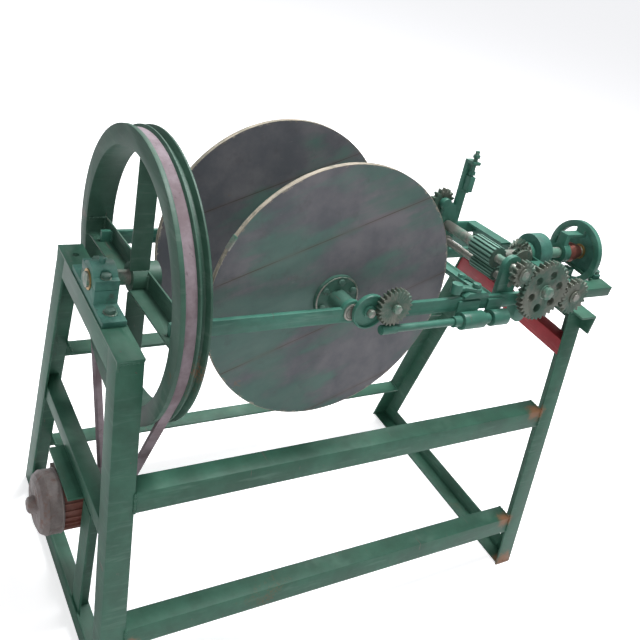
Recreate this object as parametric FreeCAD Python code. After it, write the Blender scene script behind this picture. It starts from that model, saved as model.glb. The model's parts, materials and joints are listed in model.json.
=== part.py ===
import FreeCAD, Part
import math
import os

V = FreeCAD.Vector

# A straw rope machine. X runs along the machine from the belt wheel to the feed end,
# Y runs across it, Z is up, and the floor is Z = 0. Sizes are in millimetres.
# The flyer's parts are drawn about its own axis and then turned by its rest angle.

# Welded frame of angle iron
FRAME_LENGTH = 1165.0
FRAME_HEIGHT = 765.0
LEG_ANGLE = 50.0
SIDE_ANGLE = 45.0
CROSS_ANGLE = 37.0
BRACE_ANGLE = 40.0
IRON = 5.0
LEG_TOP_SPREAD = 194.0
LEG_FOOT_SPREAD = 330.0
TOP_RAIL_HALF_LEFT = 198.0
TOP_RAIL_HALF_RIGHT = 232.0
BOTTOM_RAIL_HALF = 357.0
UPPER_RAIL_TOP = 488.0
LOWER_RAIL_TOP = 159.0
CROSS_RAIL_TOP = 387.0
CROSS_RAIL_INSET = 5.0
BRACE_DROP = 85.0
BRACE_INSET = 42.0
BOLT_HOLE_R = 6.8
SPARE_HOLE_Y = 156.0

# Main axis and the flyer's rest angle
BEARING_RISE = 41.0
REST_ANGLE = -5.1
RUN = 0.05
END_PLAY = 0.3

# Belt wheel, pulley and belt
WHEEL_LEFT = 67.0
WHEEL_WIDTH = 56.0
BELT_INSET = 21.5
SPARE_GROOVE_INSET = 44.5
SPARE_GROOVE_HALF = 7.5
SPARE_GROOVE_DEPTH = 12.0
BELT_WIDTH = 20.0
BELT_DEPTH = 12.0
BELT_FLANK = 19.0
BELT_TOP_R = 273.0
BELT_SUNK = 6.0
RIM_WALL = 16.0
PULLEY_BELT_R = 47.0
PULLEY_LIP = 4.0
PULLEY_WIDTH = 32.0
GROOVE_GAP = 0.35
GROOVE_FLOOR = 3.0
SPOKE_ANGLE = 38.0
SPOKE_INSET = 5.0
SPOKE_IRON = 4.0
HUB_R = 28.0
HUB_LENGTH = 55.0
HUB_PROUD = 10.0
STUB_R = 15.0
STUB_LEFT = -4.0

# Left plummer block
PLUMMER_FOOT_HALF = 100.0
PLUMMER_WIDTH = 45.0
PLUMMER_FOOT = 12.0
PLUMMER_BODY_HALF = 42.0
PLUMMER_HEAD_R = 35.0
CAP_EAR = 19.0
BUSH_R = 20.0
FOOT_BOLT_Y = 70.0
CAP_BOLT_Y = 29.0
CAP_SPLIT = 0.5

# Arch pedestal on the right rail, its fixed tube and the sun gear
PEDESTAL_GAP = 3.0
PEDESTAL_WIDTH = 41.0
PEDESTAL_HALF = 46.0
PEDESTAL_HIGH = 95.0
PEDESTAL_FOOT_HALF = 82.0
PEDESTAL_FOOT = 12.0
PEDESTAL_BOLT_Y = 64.0
QUILL_R = 20.0
BEVEL_MODULE = 4.0
BEVEL_TEETH = 20
BEVEL_FACE = 12.0
BEVEL_BACK = 8.0
BEVEL_SLACK = 2.4
BEVEL_ADDENDUM = 0.62
PLANET_CLEAR = 0.3
SUN_CLEAR = 7.0

# Outrigger, outer pedestal and feed end
ARM_INNER_Y = 80.0
ARM_WIDTH = 40.0
ARM_HEIGHT = 26.0
ARM_LENGTH = 180.0
PLATE_WIDTH = 35.0
PLATE_IRON = 8.0
OUTER_INSET = 30.0
OUTER_WIDTH = 22.0
OUTER_HEAD_R = 55.0
OUTER_NECK_HALF = 24.0
OUTER_FOOT_HALF = 78.0
OUTER_FOOT = 12.0
OUTER_BOLT_Y = 66.0
SPINDLE_R = 14.0
SPINDLE_BORE_R = 9.0
SPINDLE_PROUD = 3.0
SPINDLE_TAIL = 12.0
RING_REACH = 25.0
RING_WIDTH = 14.0
RING_R = 84.0
RING_INNER_R = 67.0
SPIDER_REACH = 83.0
SPIDER_WIDTH = 14.0
SPIDER_HUB_R = 27.0
BLADE_RISE = 46.0
BLADE_WIDTH = 26.0
BLADE_IRON = 9.0
THROAT_START = 22.0
THROAT_LENGTH = 50.0

# Motor, hung under its plate
MOTOR_Y = -22.0
MOTOR_Z = 270.0
MOTOR_R = 66.0
COWL_R = 69.0
COWL_LEFT = -70.0
COWL_RIGHT = -24.0
STATOR_RIGHT = 33.0
SHIELD_DEPTH = 16.0
MOTOR_SHAFT_R = 12.0
MOTOR_BOSS = 15.0
MOTOR_PLATE_IRON = 6.0
MOTOR_FOOT = 10.0
MOTOR_FINS = 26
MOTOR_BOLT_X = 4.0
MOTOR_BOLT_Y = 53.0
TERMINAL_DEPTH = 32.0

# Flyer frame
BAR_OUT = 200.0
BAR_IRON = 10.0
BAR_TOP = 8.0
BAR_LOW = -22.0
BAR_BOSS_R = 24.0
SLEEVE_BOSS_R = 20.0
END_IRON = 5.0
FLYER_LEFT = 84.0
FLYER_GAP = 5.0
END_DEPTH = 34.0
BOSS_R = 32.0
TAIL_BACK = 60.0
TAIL_IRON = 10.0

# Reel
REEL_FROM_END = 370.0
REEL_R = 275.0
REEL_HALF = 137.0
BOARD = 11.0
CORE_R = 60.0
CORE_WALL = 3.0
REEL_SHAFT_R = 12.0
REEL_BUSH_R = 18.0
REEL_BUSH_PROUD = 2.0
REEL_SHAFT_PROUD = 3.0
FLANGE_R = 50.0
FLANGE_IRON = 7.0
REEL_BOLTS = 6
REEL_BOLT_RING = 37.0

# Spur gears
MODULE = 4.0
ADDENDUM = 0.8
DEDENDUM = 1.05
PRESSURE = 25.0
BACKLASH = 0.5
CROSS_TEETH = 20
HOLED_TEETH = 34
PINION_TEETH = 14
UPPER_TEETH = 11
FEED_TEETH = 15
GEAR_PLANE = -228.0
GEAR_WIDTH = 16.0
HOLED_DIRECTION = 168.3
PINION_DIRECTION = 151.3
FEED_DIRECTION = 107.0
FAR_GEAR_WIDTH = 12.0
CROSS_SHAFT_R = 9.0
SLEEVE_R = 14.0
STUD_R = 9.0

# Rollers and their stand
UPPER_ROLLER_R = 25.0
LOWER_ROLLER_R = 16.0
LOWER_DIRECTION = -76.0
NIP = 1.0
UPPER_SHAFT_R = 10.0
LOWER_SHAFT_R = 8.5
FLUTED_NEAR = -140.0
FLUTED_FAR = -65.0
UPPER_FLUTES = 16
LOWER_FLUTES = 14
STAND_IRON = 12.0
STAND_HALF = 26.0
FAR_STAND_Y = 45.0
STAND_FLOOR = 8.0
POST_OUT = 22.0
POST_TOP_Z = 228.0
POST_WIDTH = 20.0
SCREW_OUT = 10.0
BLOCK_HALF = 7.0
SCREW_R = 5.0
SCREW_TRAVEL = 8.0

# Shaft below the near bar, take-up gear, tension wheel and guide
LAY_Y = -222.0
LAY_Z = -34.0
LAY_R = 8.0
LAY_SHORT = 3.0
WORM_R = 10.0
WORM_LENGTH = 36.0
TAKE_UP_OUT = 82.0
TAKE_UP_Z = 17.0
TAKE_UP_TEETH = 25
TAKE_UP_MODULE = 3.0
TAKE_UP_PLANE = -229.0
TAKE_UP_WIDTH = 14.0
GEARBOX_OUT = 61.0
TENSION_OUT = 33.0
TENSION_Z = 4.0
TENSION_R = 37.0
TENSION_PLANE = -214.5
TENSION_WIDTH = 9.5
TENSION_RECESS = 5.5
GUIDE_BACK = 95.0
HANGER_LEFT = 110.0
HANGER_RIGHT = 34.0
HANGER_LENGTH = 60.0
SHORT_HANGER_LENGTH = 44.0
GUIDE_BAR = 112.0
HOOK_REACH = 62.0

AXIS_Z = FRAME_HEIGHT + BEARING_RISE
BELT_X = WHEEL_LEFT + BELT_INSET
HUB_RIGHT = WHEEL_LEFT + WHEEL_WIDTH + HUB_PROUD
WHEEL_R = BELT_TOP_R + BELT_SUNK
PULLEY_R = PULLEY_BELT_R + PULLEY_LIP
BRACE_TOP = FRAME_HEIGHT - BRACE_DROP
PEDESTAL_LEFT = FRAME_LENGTH - LEG_ANGLE + PEDESTAL_GAP
FLYER_RIGHT = FRAME_LENGTH - LEG_ANGLE - FLYER_GAP
QUILL_BORE_R = SPINDLE_R + RUN
BEVEL_R = BEVEL_MODULE * BEVEL_TEETH / 2.0
APEX_X = FLYER_RIGHT - END_IRON - BEVEL_R - BEVEL_BACK - SUN_CLEAR + 5.0
TAIL_X = APEX_X - TAIL_BACK
PLATE_RIGHT = FRAME_LENGTH + ARM_LENGTH
PLATE_LEFT = PLATE_RIGHT - PLATE_WIDTH
OUTER_LEFT = PLATE_RIGHT - OUTER_INSET
SPINDLE_LEFT = TAIL_X - SPINDLE_TAIL
SPINDLE_RIGHT = PLATE_RIGHT + SPINDLE_PROUD
RING_LEFT = OUTER_LEFT - RING_REACH
SPIDER_LEFT = OUTER_LEFT - SPIDER_REACH
THROAT_LEFT = SPIDER_LEFT + THROAT_START
THROAT_RIGHT = THROAT_LEFT + THROAT_LENGTH
REEL_X = FLYER_LEFT + REEL_FROM_END
WHEEL_FLOOR = BELT_TOP_R - BELT_DEPTH - GROOVE_FLOOR
WHEEL_INNER_R = WHEEL_FLOOR - RIM_WALL
TAKE_UP_X = REEL_X + TAKE_UP_OUT
TENSION_X = REEL_X + TENSION_OUT
X_LEFT = COWL_LEFT - MOTOR_BOSS
X_RIGHT = SPINDLE_RIGHT
X_MIDDLE = (X_LEFT + X_RIGHT) / 2.0


# Plain shapes

def box(x0, x1, y0, y1, z0, z1):
    return Part.makeBox(x1 - x0, y1 - y0, z1 - z0, V(x0, y0, z0))


def rod(axis, a, b, p, q, r):
    """A round bar along axis from a to b; p and q are its other two coordinates in order."""
    start = {"x": V(a, p, q), "y": V(p, a, q), "z": V(p, q, a)}[axis]
    way = {"x": V(1, 0, 0), "y": V(0, 1, 0), "z": V(0, 0, 1)}[axis]
    return Part.makeCylinder(r, b - a, start, way)


def tube(axis, a, b, p, q, r, bore):
    return rod(axis, a, b, p, q, r).cut(rod(axis, a - 1, b + 1, p, q, bore))


def prism(points, way):
    """A closed outline of points, extruded along the vector way."""
    wire = Part.makePolygon([V(*p) for p in points] + [V(*points[0])])
    return Part.Face(wire).extrude(V(*way))


def turned(profile, centre, axis):
    """A closed outline of points, turned once about an axis through centre."""
    wire = Part.makePolygon([V(*p) for p in profile] + [V(*profile[0])])
    return Part.Face(wire).revolve(V(*centre), V(*axis), 360)


def joined(shapes):
    body = shapes[0].multiFuse(shapes[1:]) if len(shapes) > 1 else shapes[0]
    return body.removeSplitter()


def group(shapes):
    """Separate pieces that share one node."""
    return Part.makeCompound(shapes)


def hexagon(axis, a, b, p, q, across):
    """A hexagonal head or nut along axis."""
    r = across / 2.0 / math.cos(math.pi / 6)
    ring = [(r * math.cos(k * math.pi / 3), r * math.sin(k * math.pi / 3)) for k in range(6)]
    if axis == "x":
        return prism([(a, p + u, q + v) for u, v in ring], (b - a, 0, 0))
    if axis == "y":
        return prism([(p + u, a, q + v) for u, v in ring], (0, b - a, 0))
    return prism([(p + u, q + v, a) for u, v in ring], (0, 0, b - a))


def bolt_down(x, y, top, shank, length, across):
    """A bolt with its head on the face at top and its shank below."""
    head = hexagon("z", top, top + shank * 0.8, x, y, across)
    return joined([head, rod("z", top - length, top, x, y, shank / 2.0)])


def mirror_y(shape):
    return shape.mirror(V(0, 0, 0), V(0, 1, 0))


# Gears

def involute(angle):
    return math.tan(angle) - angle


def tooth_half_angle(radius, pitch_r, teeth, slack):
    """Half the angle that a tooth fills at a radius."""
    pressure = math.radians(PRESSURE)
    base = pitch_r * math.cos(pressure)
    at = math.acos(min(1.0, base / radius))
    middle = math.pi / (2 * teeth) - slack / (2.0 * pitch_r)
    return middle + involute(pressure) - involute(at)


def gear_outline(teeth, module, phase, slack=BACKLASH, steps=4, addendum=ADDENDUM):
    """Points of a spur gear's outline as radius and angle, first tooth at phase."""
    pitch_r = teeth * module / 2.0
    base = pitch_r * math.cos(math.radians(PRESSURE))
    tip = pitch_r + addendum * module
    root = pitch_r - DEDENDUM * module
    low = max(base, root + 0.2)
    radii = [low + (tip - low) * k / steps for k in range(steps + 1)]
    points = []
    for k in range(teeth):
        middle = phase + 2 * math.pi * k / teeth
        side = [(r, tooth_half_angle(r, pitch_r, teeth, slack)) for r in radii]
        points.append((root, middle - side[0][1] - 0.15 / teeth))
        points += [(r, middle - half) for r, half in side]
        points += [(r, middle + half) for r, half in reversed(side)]
        points.append((root, middle + side[0][1] + 0.15 / teeth))
    return points


def spur_gear(x, z, y0, width, teeth, phase, bore, module=MODULE):
    """A gear about a Y axis at x, z."""
    points = gear_outline(teeth, module, phase)
    outline = [(x + r * math.cos(a), y0, z + r * math.sin(a)) for r, a in points]
    body = prism(outline, (0, width, 0))
    return body.cut(rod("y", y0 - 1, y0 + width + 1, x, z, bore))


def mesh_phase(teeth_a, phase_a, direction, teeth_b):
    """The phase that puts gear B's gaps on gear A's teeth; direction is from A to B."""
    share = (direction - phase_a) / (2 * math.pi / teeth_a)
    return direction + math.pi - (2 * math.pi / teeth_b) * (0.5 - share)


def bevel_gear(phase, bore):
    """A mitre gear drawn about X with its apex at the origin and its back at +X."""
    outline = gear_outline(BEVEL_TEETH, BEVEL_MODULE, phase, BEVEL_SLACK, 2, BEVEL_ADDENDUM)
    slope = 0.9

    def section(share):
        points = []
        for r, a in outline:
            x_here = (BEVEL_R - (r - BEVEL_R) * slope) * share
            points.append(V(x_here, r * share * math.cos(a), r * share * math.sin(a)))
        return points

    teeth = solid_between(section(1.0), section(1.0 - BEVEL_FACE / BEVEL_R))
    root_r = BEVEL_R - DEDENDUM * BEVEL_MODULE
    back = rod("x", BEVEL_R - 1.0, BEVEL_R + BEVEL_BACK, 0, 0, root_r - 1.5)
    return joined([teeth, back]).cut(rod("x", 0, BEVEL_R + 40, 0, 0, bore))


def solid_between(a, b):
    """A closed solid between two outlines about X that have equal numbers of corners."""
    count = len(a)
    faces = []
    middle_a = V(sum(p.x for p in a) / count, 0, 0)
    middle_b = V(sum(p.x for p in b) / count, 0, 0)
    for k in range(count):
        n = (k + 1) % count
        sides = [(a[k], a[n], b[n]), (a[k], b[n], b[k]), (a[n], a[k], middle_a), (b[k], b[n], middle_b)]
        for corners in sides:
            faces.append(Part.Face(Part.makePolygon(list(corners) + [corners[0]])))
    body = Part.makeSolid(Part.makeShell(faces))
    if body.Volume < 0:
        body.reverse()
    return body


# Places

def fly(shape):
    """Turn a part of the flyer to its rest angle and lift it to the main axis."""
    out = shape.copy()
    out.rotate(V(0, 0, 0), V(1, 0, 0), REST_ANGLE)
    out.translate(V(0, 0, AXIS_Z))
    return out


def save(name, shape, on_flyer=False):
    out = fly(shape) if on_flyer else shape.copy()
    out.translate(V(-X_MIDDLE, 0, 0))
    out.exportStep("parts/" + name + ".step")
    return out


# Frame

def leg_spread(z):
    """Half the outside width of the splayed legs at a height."""
    return LEG_FOOT_SPREAD + (LEG_TOP_SPREAD - LEG_FOOT_SPREAD) * z / FRAME_HEIGHT


def leg(x_out, way):
    """A near leg: outside corner at x_out, flanges towards way along X and inwards along Y."""
    foot = -leg_spread(0)
    top_z = FRAME_HEIGHT - IRON
    top = -leg_spread(top_z)
    outline = [(0, 0), (LEG_ANGLE, 0), (LEG_ANGLE, IRON), (IRON, IRON), (IRON, LEG_ANGLE), (0, LEG_ANGLE)]
    points = [(x_out + way * u, foot + v, 0) for u, v in outline]
    return prism(points, (0, top - foot, top_z))


def angle_y(x_out, way, half, top, size, shift=0.0):
    """An angle across the frame, top flange at top, the other flange down its outer side."""
    flange = box(min(x_out, x_out + way * size), max(x_out, x_out + way * size), -half, half, top - IRON, top)
    web = box(min(x_out, x_out + way * IRON), max(x_out, x_out + way * IRON), -half, half, top - size, top)
    body = joined([flange, web])
    body.translate(V(0, shift, 0))
    return body


def side_rail(top):
    """A near side rail between the legs: top flange and a flange level with the legs' fronts."""
    x0 = LEG_ANGLE
    x1 = FRAME_LENGTH - LEG_ANGLE
    low = top - SIDE_ANGLE
    y_top = -leg_spread(top)
    y_low = -leg_spread(low)
    y_step = -leg_spread(top - IRON) + IRON
    section = [
        (y_top, top), (y_top + SIDE_ANGLE, top), (y_top + SIDE_ANGLE, top - IRON),
        (y_step, top - IRON), (y_low + IRON, low), (y_low, low),
    ]
    return prism([(x0, y, z) for y, z in section], (x1 - x0, 0, 0))


def cut_by_legs(rail, legs):
    for piece in legs:
        rail = rail.cut(piece)
    solids = sorted(rail.Solids, key=lambda s: -s.Volume)
    return solids[0]


def frame():
    left = leg(0, 1)
    right = leg(FRAME_LENGTH, -1)
    save("legs", group([left, mirror_y(left), right, mirror_y(right)]))

    rail = angle_y(0, 1, TOP_RAIL_HALF_LEFT, FRAME_HEIGHT, LEG_ANGLE)
    rail = rail.cut(left).cut(mirror_y(left))
    for y in (FOOT_BOLT_Y, -FOOT_BOLT_Y, SPARE_HOLE_Y):
        rail = rail.cut(rod("z", FRAME_HEIGHT - IRON - 1, FRAME_HEIGHT + 1, LEG_ANGLE / 2, y, BOLT_HOLE_R))
    save("left_top_rail", rail)
    rail = angle_y(FRAME_LENGTH, -1, TOP_RAIL_HALF_RIGHT, FRAME_HEIGHT, LEG_ANGLE)
    rail = rail.cut(right).cut(mirror_y(right))
    x = PEDESTAL_LEFT + PEDESTAL_WIDTH / 2
    for y in (PEDESTAL_BOLT_Y, -PEDESTAL_BOLT_Y):
        rail = rail.cut(rod("z", FRAME_HEIGHT - IRON - 1, FRAME_HEIGHT + 1, x, y, BOLT_HOLE_R))
    save("right_top_rail", rail)

    inside = leg_spread(CROSS_RAIL_TOP) + 30.0
    cross = angle_y(CROSS_RAIL_INSET, 1, inside, CROSS_RAIL_TOP, CROSS_ANGLE)
    save("left_middle_rail", cut_by_legs(cross, [left, mirror_y(left)]))

    foot_left = cut_by_legs(angle_foot(0, 1), [left, mirror_y(left)])
    foot_right = cut_by_legs(angle_foot(FRAME_LENGTH, -1), [right, mirror_y(right)])
    save("foot_rails", group([foot_left, foot_right]))

    inner = FRAME_LENGTH - IRON - BRACE_INSET
    red = angle_y(inner, 1, leg_spread(BRACE_TOP) + 30.0, BRACE_TOP, BRACE_ANGLE)
    save("red_tie_rail", cut_by_legs(red, [right, mirror_y(right)]))

    upper = side_rail(UPPER_RAIL_TOP)
    lower = side_rail(LOWER_RAIL_TOP)
    save("side_rails", group([upper, mirror_y(upper), lower, mirror_y(lower)]))


def angle_foot(x_out, way):
    """A floor angle: flange flat on the floor, the other standing along its outer side."""
    size = SIDE_ANGLE
    x_in = x_out + way * size
    floor = box(min(x_out, x_in), max(x_out, x_in), -BOTTOM_RAIL_HALF, BOTTOM_RAIL_HALF, 0, IRON)
    x_web = x_out + way * IRON
    web = box(min(x_out, x_web), max(x_out, x_web), -BOTTOM_RAIL_HALF, BOTTOM_RAIL_HALF, 0, size)
    return joined([floor, web])


def outrigger():
    """Two channels out from the right top rail and a plate between them for the outer pedestal."""
    top = FRAME_HEIGHT
    y_out = -ARM_INNER_Y - ARM_WIDTH
    near = box(FRAME_LENGTH, PLATE_RIGHT, y_out, -ARM_INNER_Y, top - ARM_HEIGHT, top)
    trough = box(FRAME_LENGTH - 1, PLATE_RIGHT + 1, y_out + IRON, -ARM_INNER_Y - IRON, top - ARM_HEIGHT - 1, top - IRON)
    near = near.cut(trough)
    plate = box(PLATE_LEFT, PLATE_RIGHT, -ARM_INNER_Y, ARM_INNER_Y, top - PLATE_IRON, top)
    for y in (OUTER_BOLT_Y, -OUTER_BOLT_Y):
        plate = plate.cut(rod("z", top - PLATE_IRON - 1, top + 1, OUTER_LEFT + OUTER_WIDTH / 2, y, BOLT_HOLE_R))
    save("outrigger", group([near, mirror_y(near), plate]))


# Bearings on the frame

def plummer_block():
    middle = LEG_ANGLE / 2
    x0 = middle - PLUMMER_WIDTH / 2
    x1 = x0 + PLUMMER_WIDTH
    z0 = FRAME_HEIGHT
    bore = rod("x", x0 - 1, x1 + 1, 0, AXIS_Z, BUSH_R)
    foot = box(x0, x1, -PLUMMER_FOOT_HALF, PLUMMER_FOOT_HALF, z0, z0 + PLUMMER_FOOT)
    body = box(x0, x1, -PLUMMER_BODY_HALF, PLUMMER_BODY_HALF, z0, AXIS_Z - CAP_SPLIT)
    base = joined([foot, body]).cut(bore)
    for y in (FOOT_BOLT_Y, -FOOT_BOLT_Y):
        base = base.cut(rod("z", z0 - 1, z0 + PLUMMER_FOOT + 1, middle, y, BOLT_HOLE_R))
    for y in (CAP_BOLT_Y, -CAP_BOLT_Y):
        base = base.cut(rod("z", z0 + 8, AXIS_Z, middle, y, 5.2))
    save("plummer_base", base)

    low = box(x0 - 1, x1 + 1, -80, 80, AXIS_Z - 80, AXIS_Z + CAP_SPLIT)
    head = rod("x", x0, x1, 0, AXIS_Z, PLUMMER_HEAD_R).cut(low)
    ears = box(x0, x1, -PLUMMER_BODY_HALF, PLUMMER_BODY_HALF, AXIS_Z + CAP_SPLIT, AXIS_Z + CAP_EAR)
    cap = joined([head, ears]).cut(bore)
    for y in (CAP_BOLT_Y, -CAP_BOLT_Y):
        cap = cap.cut(rod("z", AXIS_Z - 1, AXIS_Z + CAP_EAR + 1, middle, y, 5.2))
        cap = cap.cut(rod("z", AXIS_Z + CAP_EAR, AXIS_Z + CAP_EAR + 30, middle, y, 11.0))
    cup = rod("z", AXIS_Z + PLUMMER_HEAD_R - 2, AXIS_Z + PLUMMER_HEAD_R + 9, middle, 0, 6.0)
    save("plummer_cap", joined([cap, cup]))
    left_bush = tube("x", x0 - 2, x1 + 2, 0, AXIS_Z, BUSH_R, STUB_R + RUN)
    x0 = OUTER_LEFT
    x1 = OUTER_LEFT + OUTER_WIDTH
    right_bush = tube("x", x0 - 2, x1 + 2, 0, AXIS_Z, BUSH_R, SPINDLE_R + RUN)
    save("bearing_bushes", group([left_bush, right_bush]))


def arch_pedestal():
    x0 = PEDESTAL_LEFT
    x1 = PEDESTAL_LEFT + PEDESTAL_WIDTH
    z0 = FRAME_HEIGHT
    crown = z0 + PEDESTAL_HIGH - PEDESTAL_HALF
    foot = box(x0, x1, -PEDESTAL_FOOT_HALF, PEDESTAL_FOOT_HALF, z0, z0 + PEDESTAL_FOOT)
    arch = box(x0, x1, -PEDESTAL_HALF, PEDESTAL_HALF, z0, crown)
    head = rod("x", x0, x1, 0, crown, PEDESTAL_HALF)
    body = joined([foot, arch, head]).cut(rod("x", x0 - 1, x1 + 1, 0, AXIS_Z, QUILL_R))
    for y in (PEDESTAL_BOLT_Y, -PEDESTAL_BOLT_Y):
        body = body.cut(rod("z", z0 - 1, z0 + PEDESTAL_FOOT + 1, (x0 + x1) / 2, y, BOLT_HOLE_R))
    save("arch_pedestal", body)
    left = APEX_X + BEVEL_R - BEVEL_FACE
    save("fixed_sleeve", tube("x", left, x1 + 4, 0, AXIS_Z, QUILL_R, QUILL_BORE_R))
    sun = bevel_gear(math.radians(REST_ANGLE), QUILL_R)
    sun.translate(V(APEX_X, 0, AXIS_Z))
    save("sun_bevel_gear", sun)


def outer_pedestal():
    x0 = OUTER_LEFT
    x1 = OUTER_LEFT + OUTER_WIDTH
    z0 = FRAME_HEIGHT
    foot = box(x0, x1, -OUTER_FOOT_HALF, OUTER_FOOT_HALF, z0, z0 + OUTER_FOOT)
    neck = box(x0, x1, -OUTER_NECK_HALF, OUTER_NECK_HALF, z0, AXIS_Z)
    head = rod("x", x0, x1, 0, AXIS_Z, OUTER_HEAD_R)
    head = head.cut(box(x0 - 1, x1 + 1, -OUTER_HEAD_R - 1, OUTER_HEAD_R + 1, z0 - 50, z0))
    body = joined([foot, neck, head]).cut(rod("x", x0 - 1, x1 + 1, 0, AXIS_Z, BUSH_R))
    for y in (OUTER_BOLT_Y, -OUTER_BOLT_Y):
        body = body.cut(rod("z", z0 - 1, z0 + OUTER_FOOT + 1, (x0 + x1) / 2, y, BOLT_HOLE_R))
    save("outer_pedestal", body)


def frame_bolts():
    middle = LEG_ANGLE / 2
    bolts = []
    for side in (1, -1):
        bolts.append(bolt_down(middle, side * FOOT_BOLT_Y, FRAME_HEIGHT + PLUMMER_FOOT, 12.0, 30.0, 19.0))
        bolts.append(bolt_down(middle, side * CAP_BOLT_Y, AXIS_Z + CAP_EAR, 9.0, 42.0, 17.0))
        x = PEDESTAL_LEFT + PEDESTAL_WIDTH / 2
        bolts.append(bolt_down(x, side * PEDESTAL_BOLT_Y, FRAME_HEIGHT + PEDESTAL_FOOT, 12.0, 30.0, 19.0))
        x = OUTER_LEFT + OUTER_WIDTH / 2
        bolts.append(bolt_down(x, side * OUTER_BOLT_Y, FRAME_HEIGHT + OUTER_FOOT, 12.0, 30.0, 19.0))
        foot = CROSS_RAIL_TOP - CROSS_ANGLE - MOTOR_PLATE_IRON - MOTOR_FOOT
        y = MOTOR_Y + side * MOTOR_BOLT_Y
        head = hexagon("z", foot - 6, foot, MOTOR_BOLT_X, y, 13.0)
        bolts.append(joined([head, rod("z", foot, foot + MOTOR_FOOT, MOTOR_BOLT_X, y, 4.0)]))
    save("frame_bolts", group(bolts))


# Motor

def motor():
    y = MOTOR_Y
    z = MOTOR_Z
    plate_top = CROSS_RAIL_TOP - CROSS_ANGLE
    plate_low = plate_top - MOTOR_PLATE_IRON
    plate = box(COWL_RIGHT - 2, CROSS_RAIL_INSET + CROSS_ANGLE, y - 78, y + 78, plate_low, plate_top)
    post_far = y - MOTOR_R - 14
    post = joined([
        box(IRON, 2 * IRON, post_far - 48, post_far, IRON, plate_low),
        box(2 * IRON, CROSS_RAIL_INSET + CROSS_ANGLE, post_far - IRON, post_far, IRON, plate_low),
    ])
    save("motor_mount", group([plate, post]))

    body = rod("x", COWL_RIGHT, STATOR_RIGHT, y, z, MOTOR_R - 5)
    pieces = [body]
    for k in range(MOTOR_FINS):
        turn = 360.0 * (k + 0.5) / MOTOR_FINS
        if 55 < turn < 125:
            continue
        fin = box(COWL_RIGHT, STATOR_RIGHT, y + MOTOR_R - 7, y + MOTOR_R, z - 1.5, z + 1.5)
        fin.rotate(V(0, y, z), V(1, 0, 0), turn)
        pieces.append(fin)
    for side in (-1, 1):
        pieces.append(box(COWL_RIGHT + 6, STATOR_RIGHT - 6, y + side * 44 - 16, y + side * 44 + 16, plate_low - MOTOR_FOOT, plate_low))
        pieces.append(box(COWL_RIGHT + 6, STATOR_RIGHT - 6, y + side * 34 - 5, y + side * 34 + 5, z + 44, plate_low))
    stator = joined(pieces).cut(rod("x", COWL_RIGHT - 1, STATOR_RIGHT + 1, y, z, 36.0))
    for side in (-1, 1):
        hole_y = y + side * MOTOR_BOLT_Y
        stator = stator.cut(rod("z", plate_low - MOTOR_FOOT - 1, plate_low + 1, MOTOR_BOLT_X, hole_y, 4.2))
    save("motor_stator", stator)

    wall = 2.5
    left = COWL_LEFT
    outer = [
        (COWL_RIGHT, MOTOR_R - 5), (COWL_RIGHT, COWL_R), (left + 14, COWL_R), (left + 5, COWL_R - 6),
        (left, COWL_R - 18), (left, 20), (X_LEFT + 3, 17), (X_LEFT, 13), (X_LEFT, 0),
    ]
    inner = [
        (X_LEFT + 6, 0), (X_LEFT + 6, 10), (left + wall, 15), (left + wall, COWL_R - 20),
        (left + 7, COWL_R - 9), (left + 15, COWL_R - wall), (COWL_RIGHT - 6, COWL_R - wall), (COWL_RIGHT - 6, MOTOR_R - 5),
    ]
    cowl = turned([(x, 0, r) for x, r in outer + inner], (0, 0, 0), (1, 0, 0))
    cowl.translate(V(0, y, z))
    save("motor_fan_cowl", cowl)

    right = STATOR_RIGHT + SHIELD_DEPTH
    shield = [
        (STATOR_RIGHT, MOTOR_SHAFT_R + RUN), (STATOR_RIGHT, MOTOR_R + 1), (STATOR_RIGHT + 7, MOTOR_R + 1), (STATOR_RIGHT + 12, 50),
        (right - 4, 30), (right, 27), (right, MOTOR_SHAFT_R + RUN),
    ]
    shield = turned([(x, 0, r) for x, r in shield], (0, 0, 0), (1, 0, 0))
    shield.translate(V(0, y, z))
    save("motor_end_shield", shield)

    side = y + MOTOR_R - 8
    terminal = box(COWL_RIGHT + 6, STATOR_RIGHT - 6, side, side + TERMINAL_DEPTH, z - 22, z + 22)
    terminal = terminal.cut(rod("x", COWL_RIGHT - 1, STATOR_RIGHT + 1, y, z, MOTOR_R + 2 * RUN))
    terminal = max(terminal.Solids, key=lambda piece: piece.Volume)
    gland = joined([
        rod("z", z - 30, z - 22, 4, side + TERMINAL_DEPTH / 2 + 4, 8.0),
        hexagon("z", z - 36, z - 29, 4, side + TERMINAL_DEPTH / 2 + 4, 20.0),
    ])
    gland = gland.cut(rod("z", z - 40, z - 24, 4, side + TERMINAL_DEPTH / 2 + 4, 4.5))
    save("motor_terminal_box", group([terminal, gland]))

    shaft = rod("x", left + 10, BELT_X + PULLEY_WIDTH / 2 + 3, y, z, MOTOR_SHAFT_R)
    core = tube("x", COWL_RIGHT + 6, STATOR_RIGHT - 6, y, z, 35.6, MOTOR_SHAFT_R)
    save("motor_pulley", pulley(y, z))
    blades = [tube("x", left + 14, COWL_RIGHT - 10, y, z, 20.0, MOTOR_SHAFT_R)]
    for k in range(6):
        blade = box(left + 16, COWL_RIGHT - 12, y - 1.5, y + 1.5, z + 18, z + MOTOR_R - 12)
        blade.rotate(V(0, y, z), V(1, 0, 0), 60.0 * k + 15)
        blades.append(blade)
    save("motor_rotor", group([shaft, core, joined(blades)]))


def groove_half(r, belt_r):
    """Half the groove's width at a radius, for a belt whose top runs at belt_r."""
    return BELT_WIDTH / 2 + GROOVE_GAP + (r - belt_r) * math.tan(math.radians(BELT_FLANK))


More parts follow.
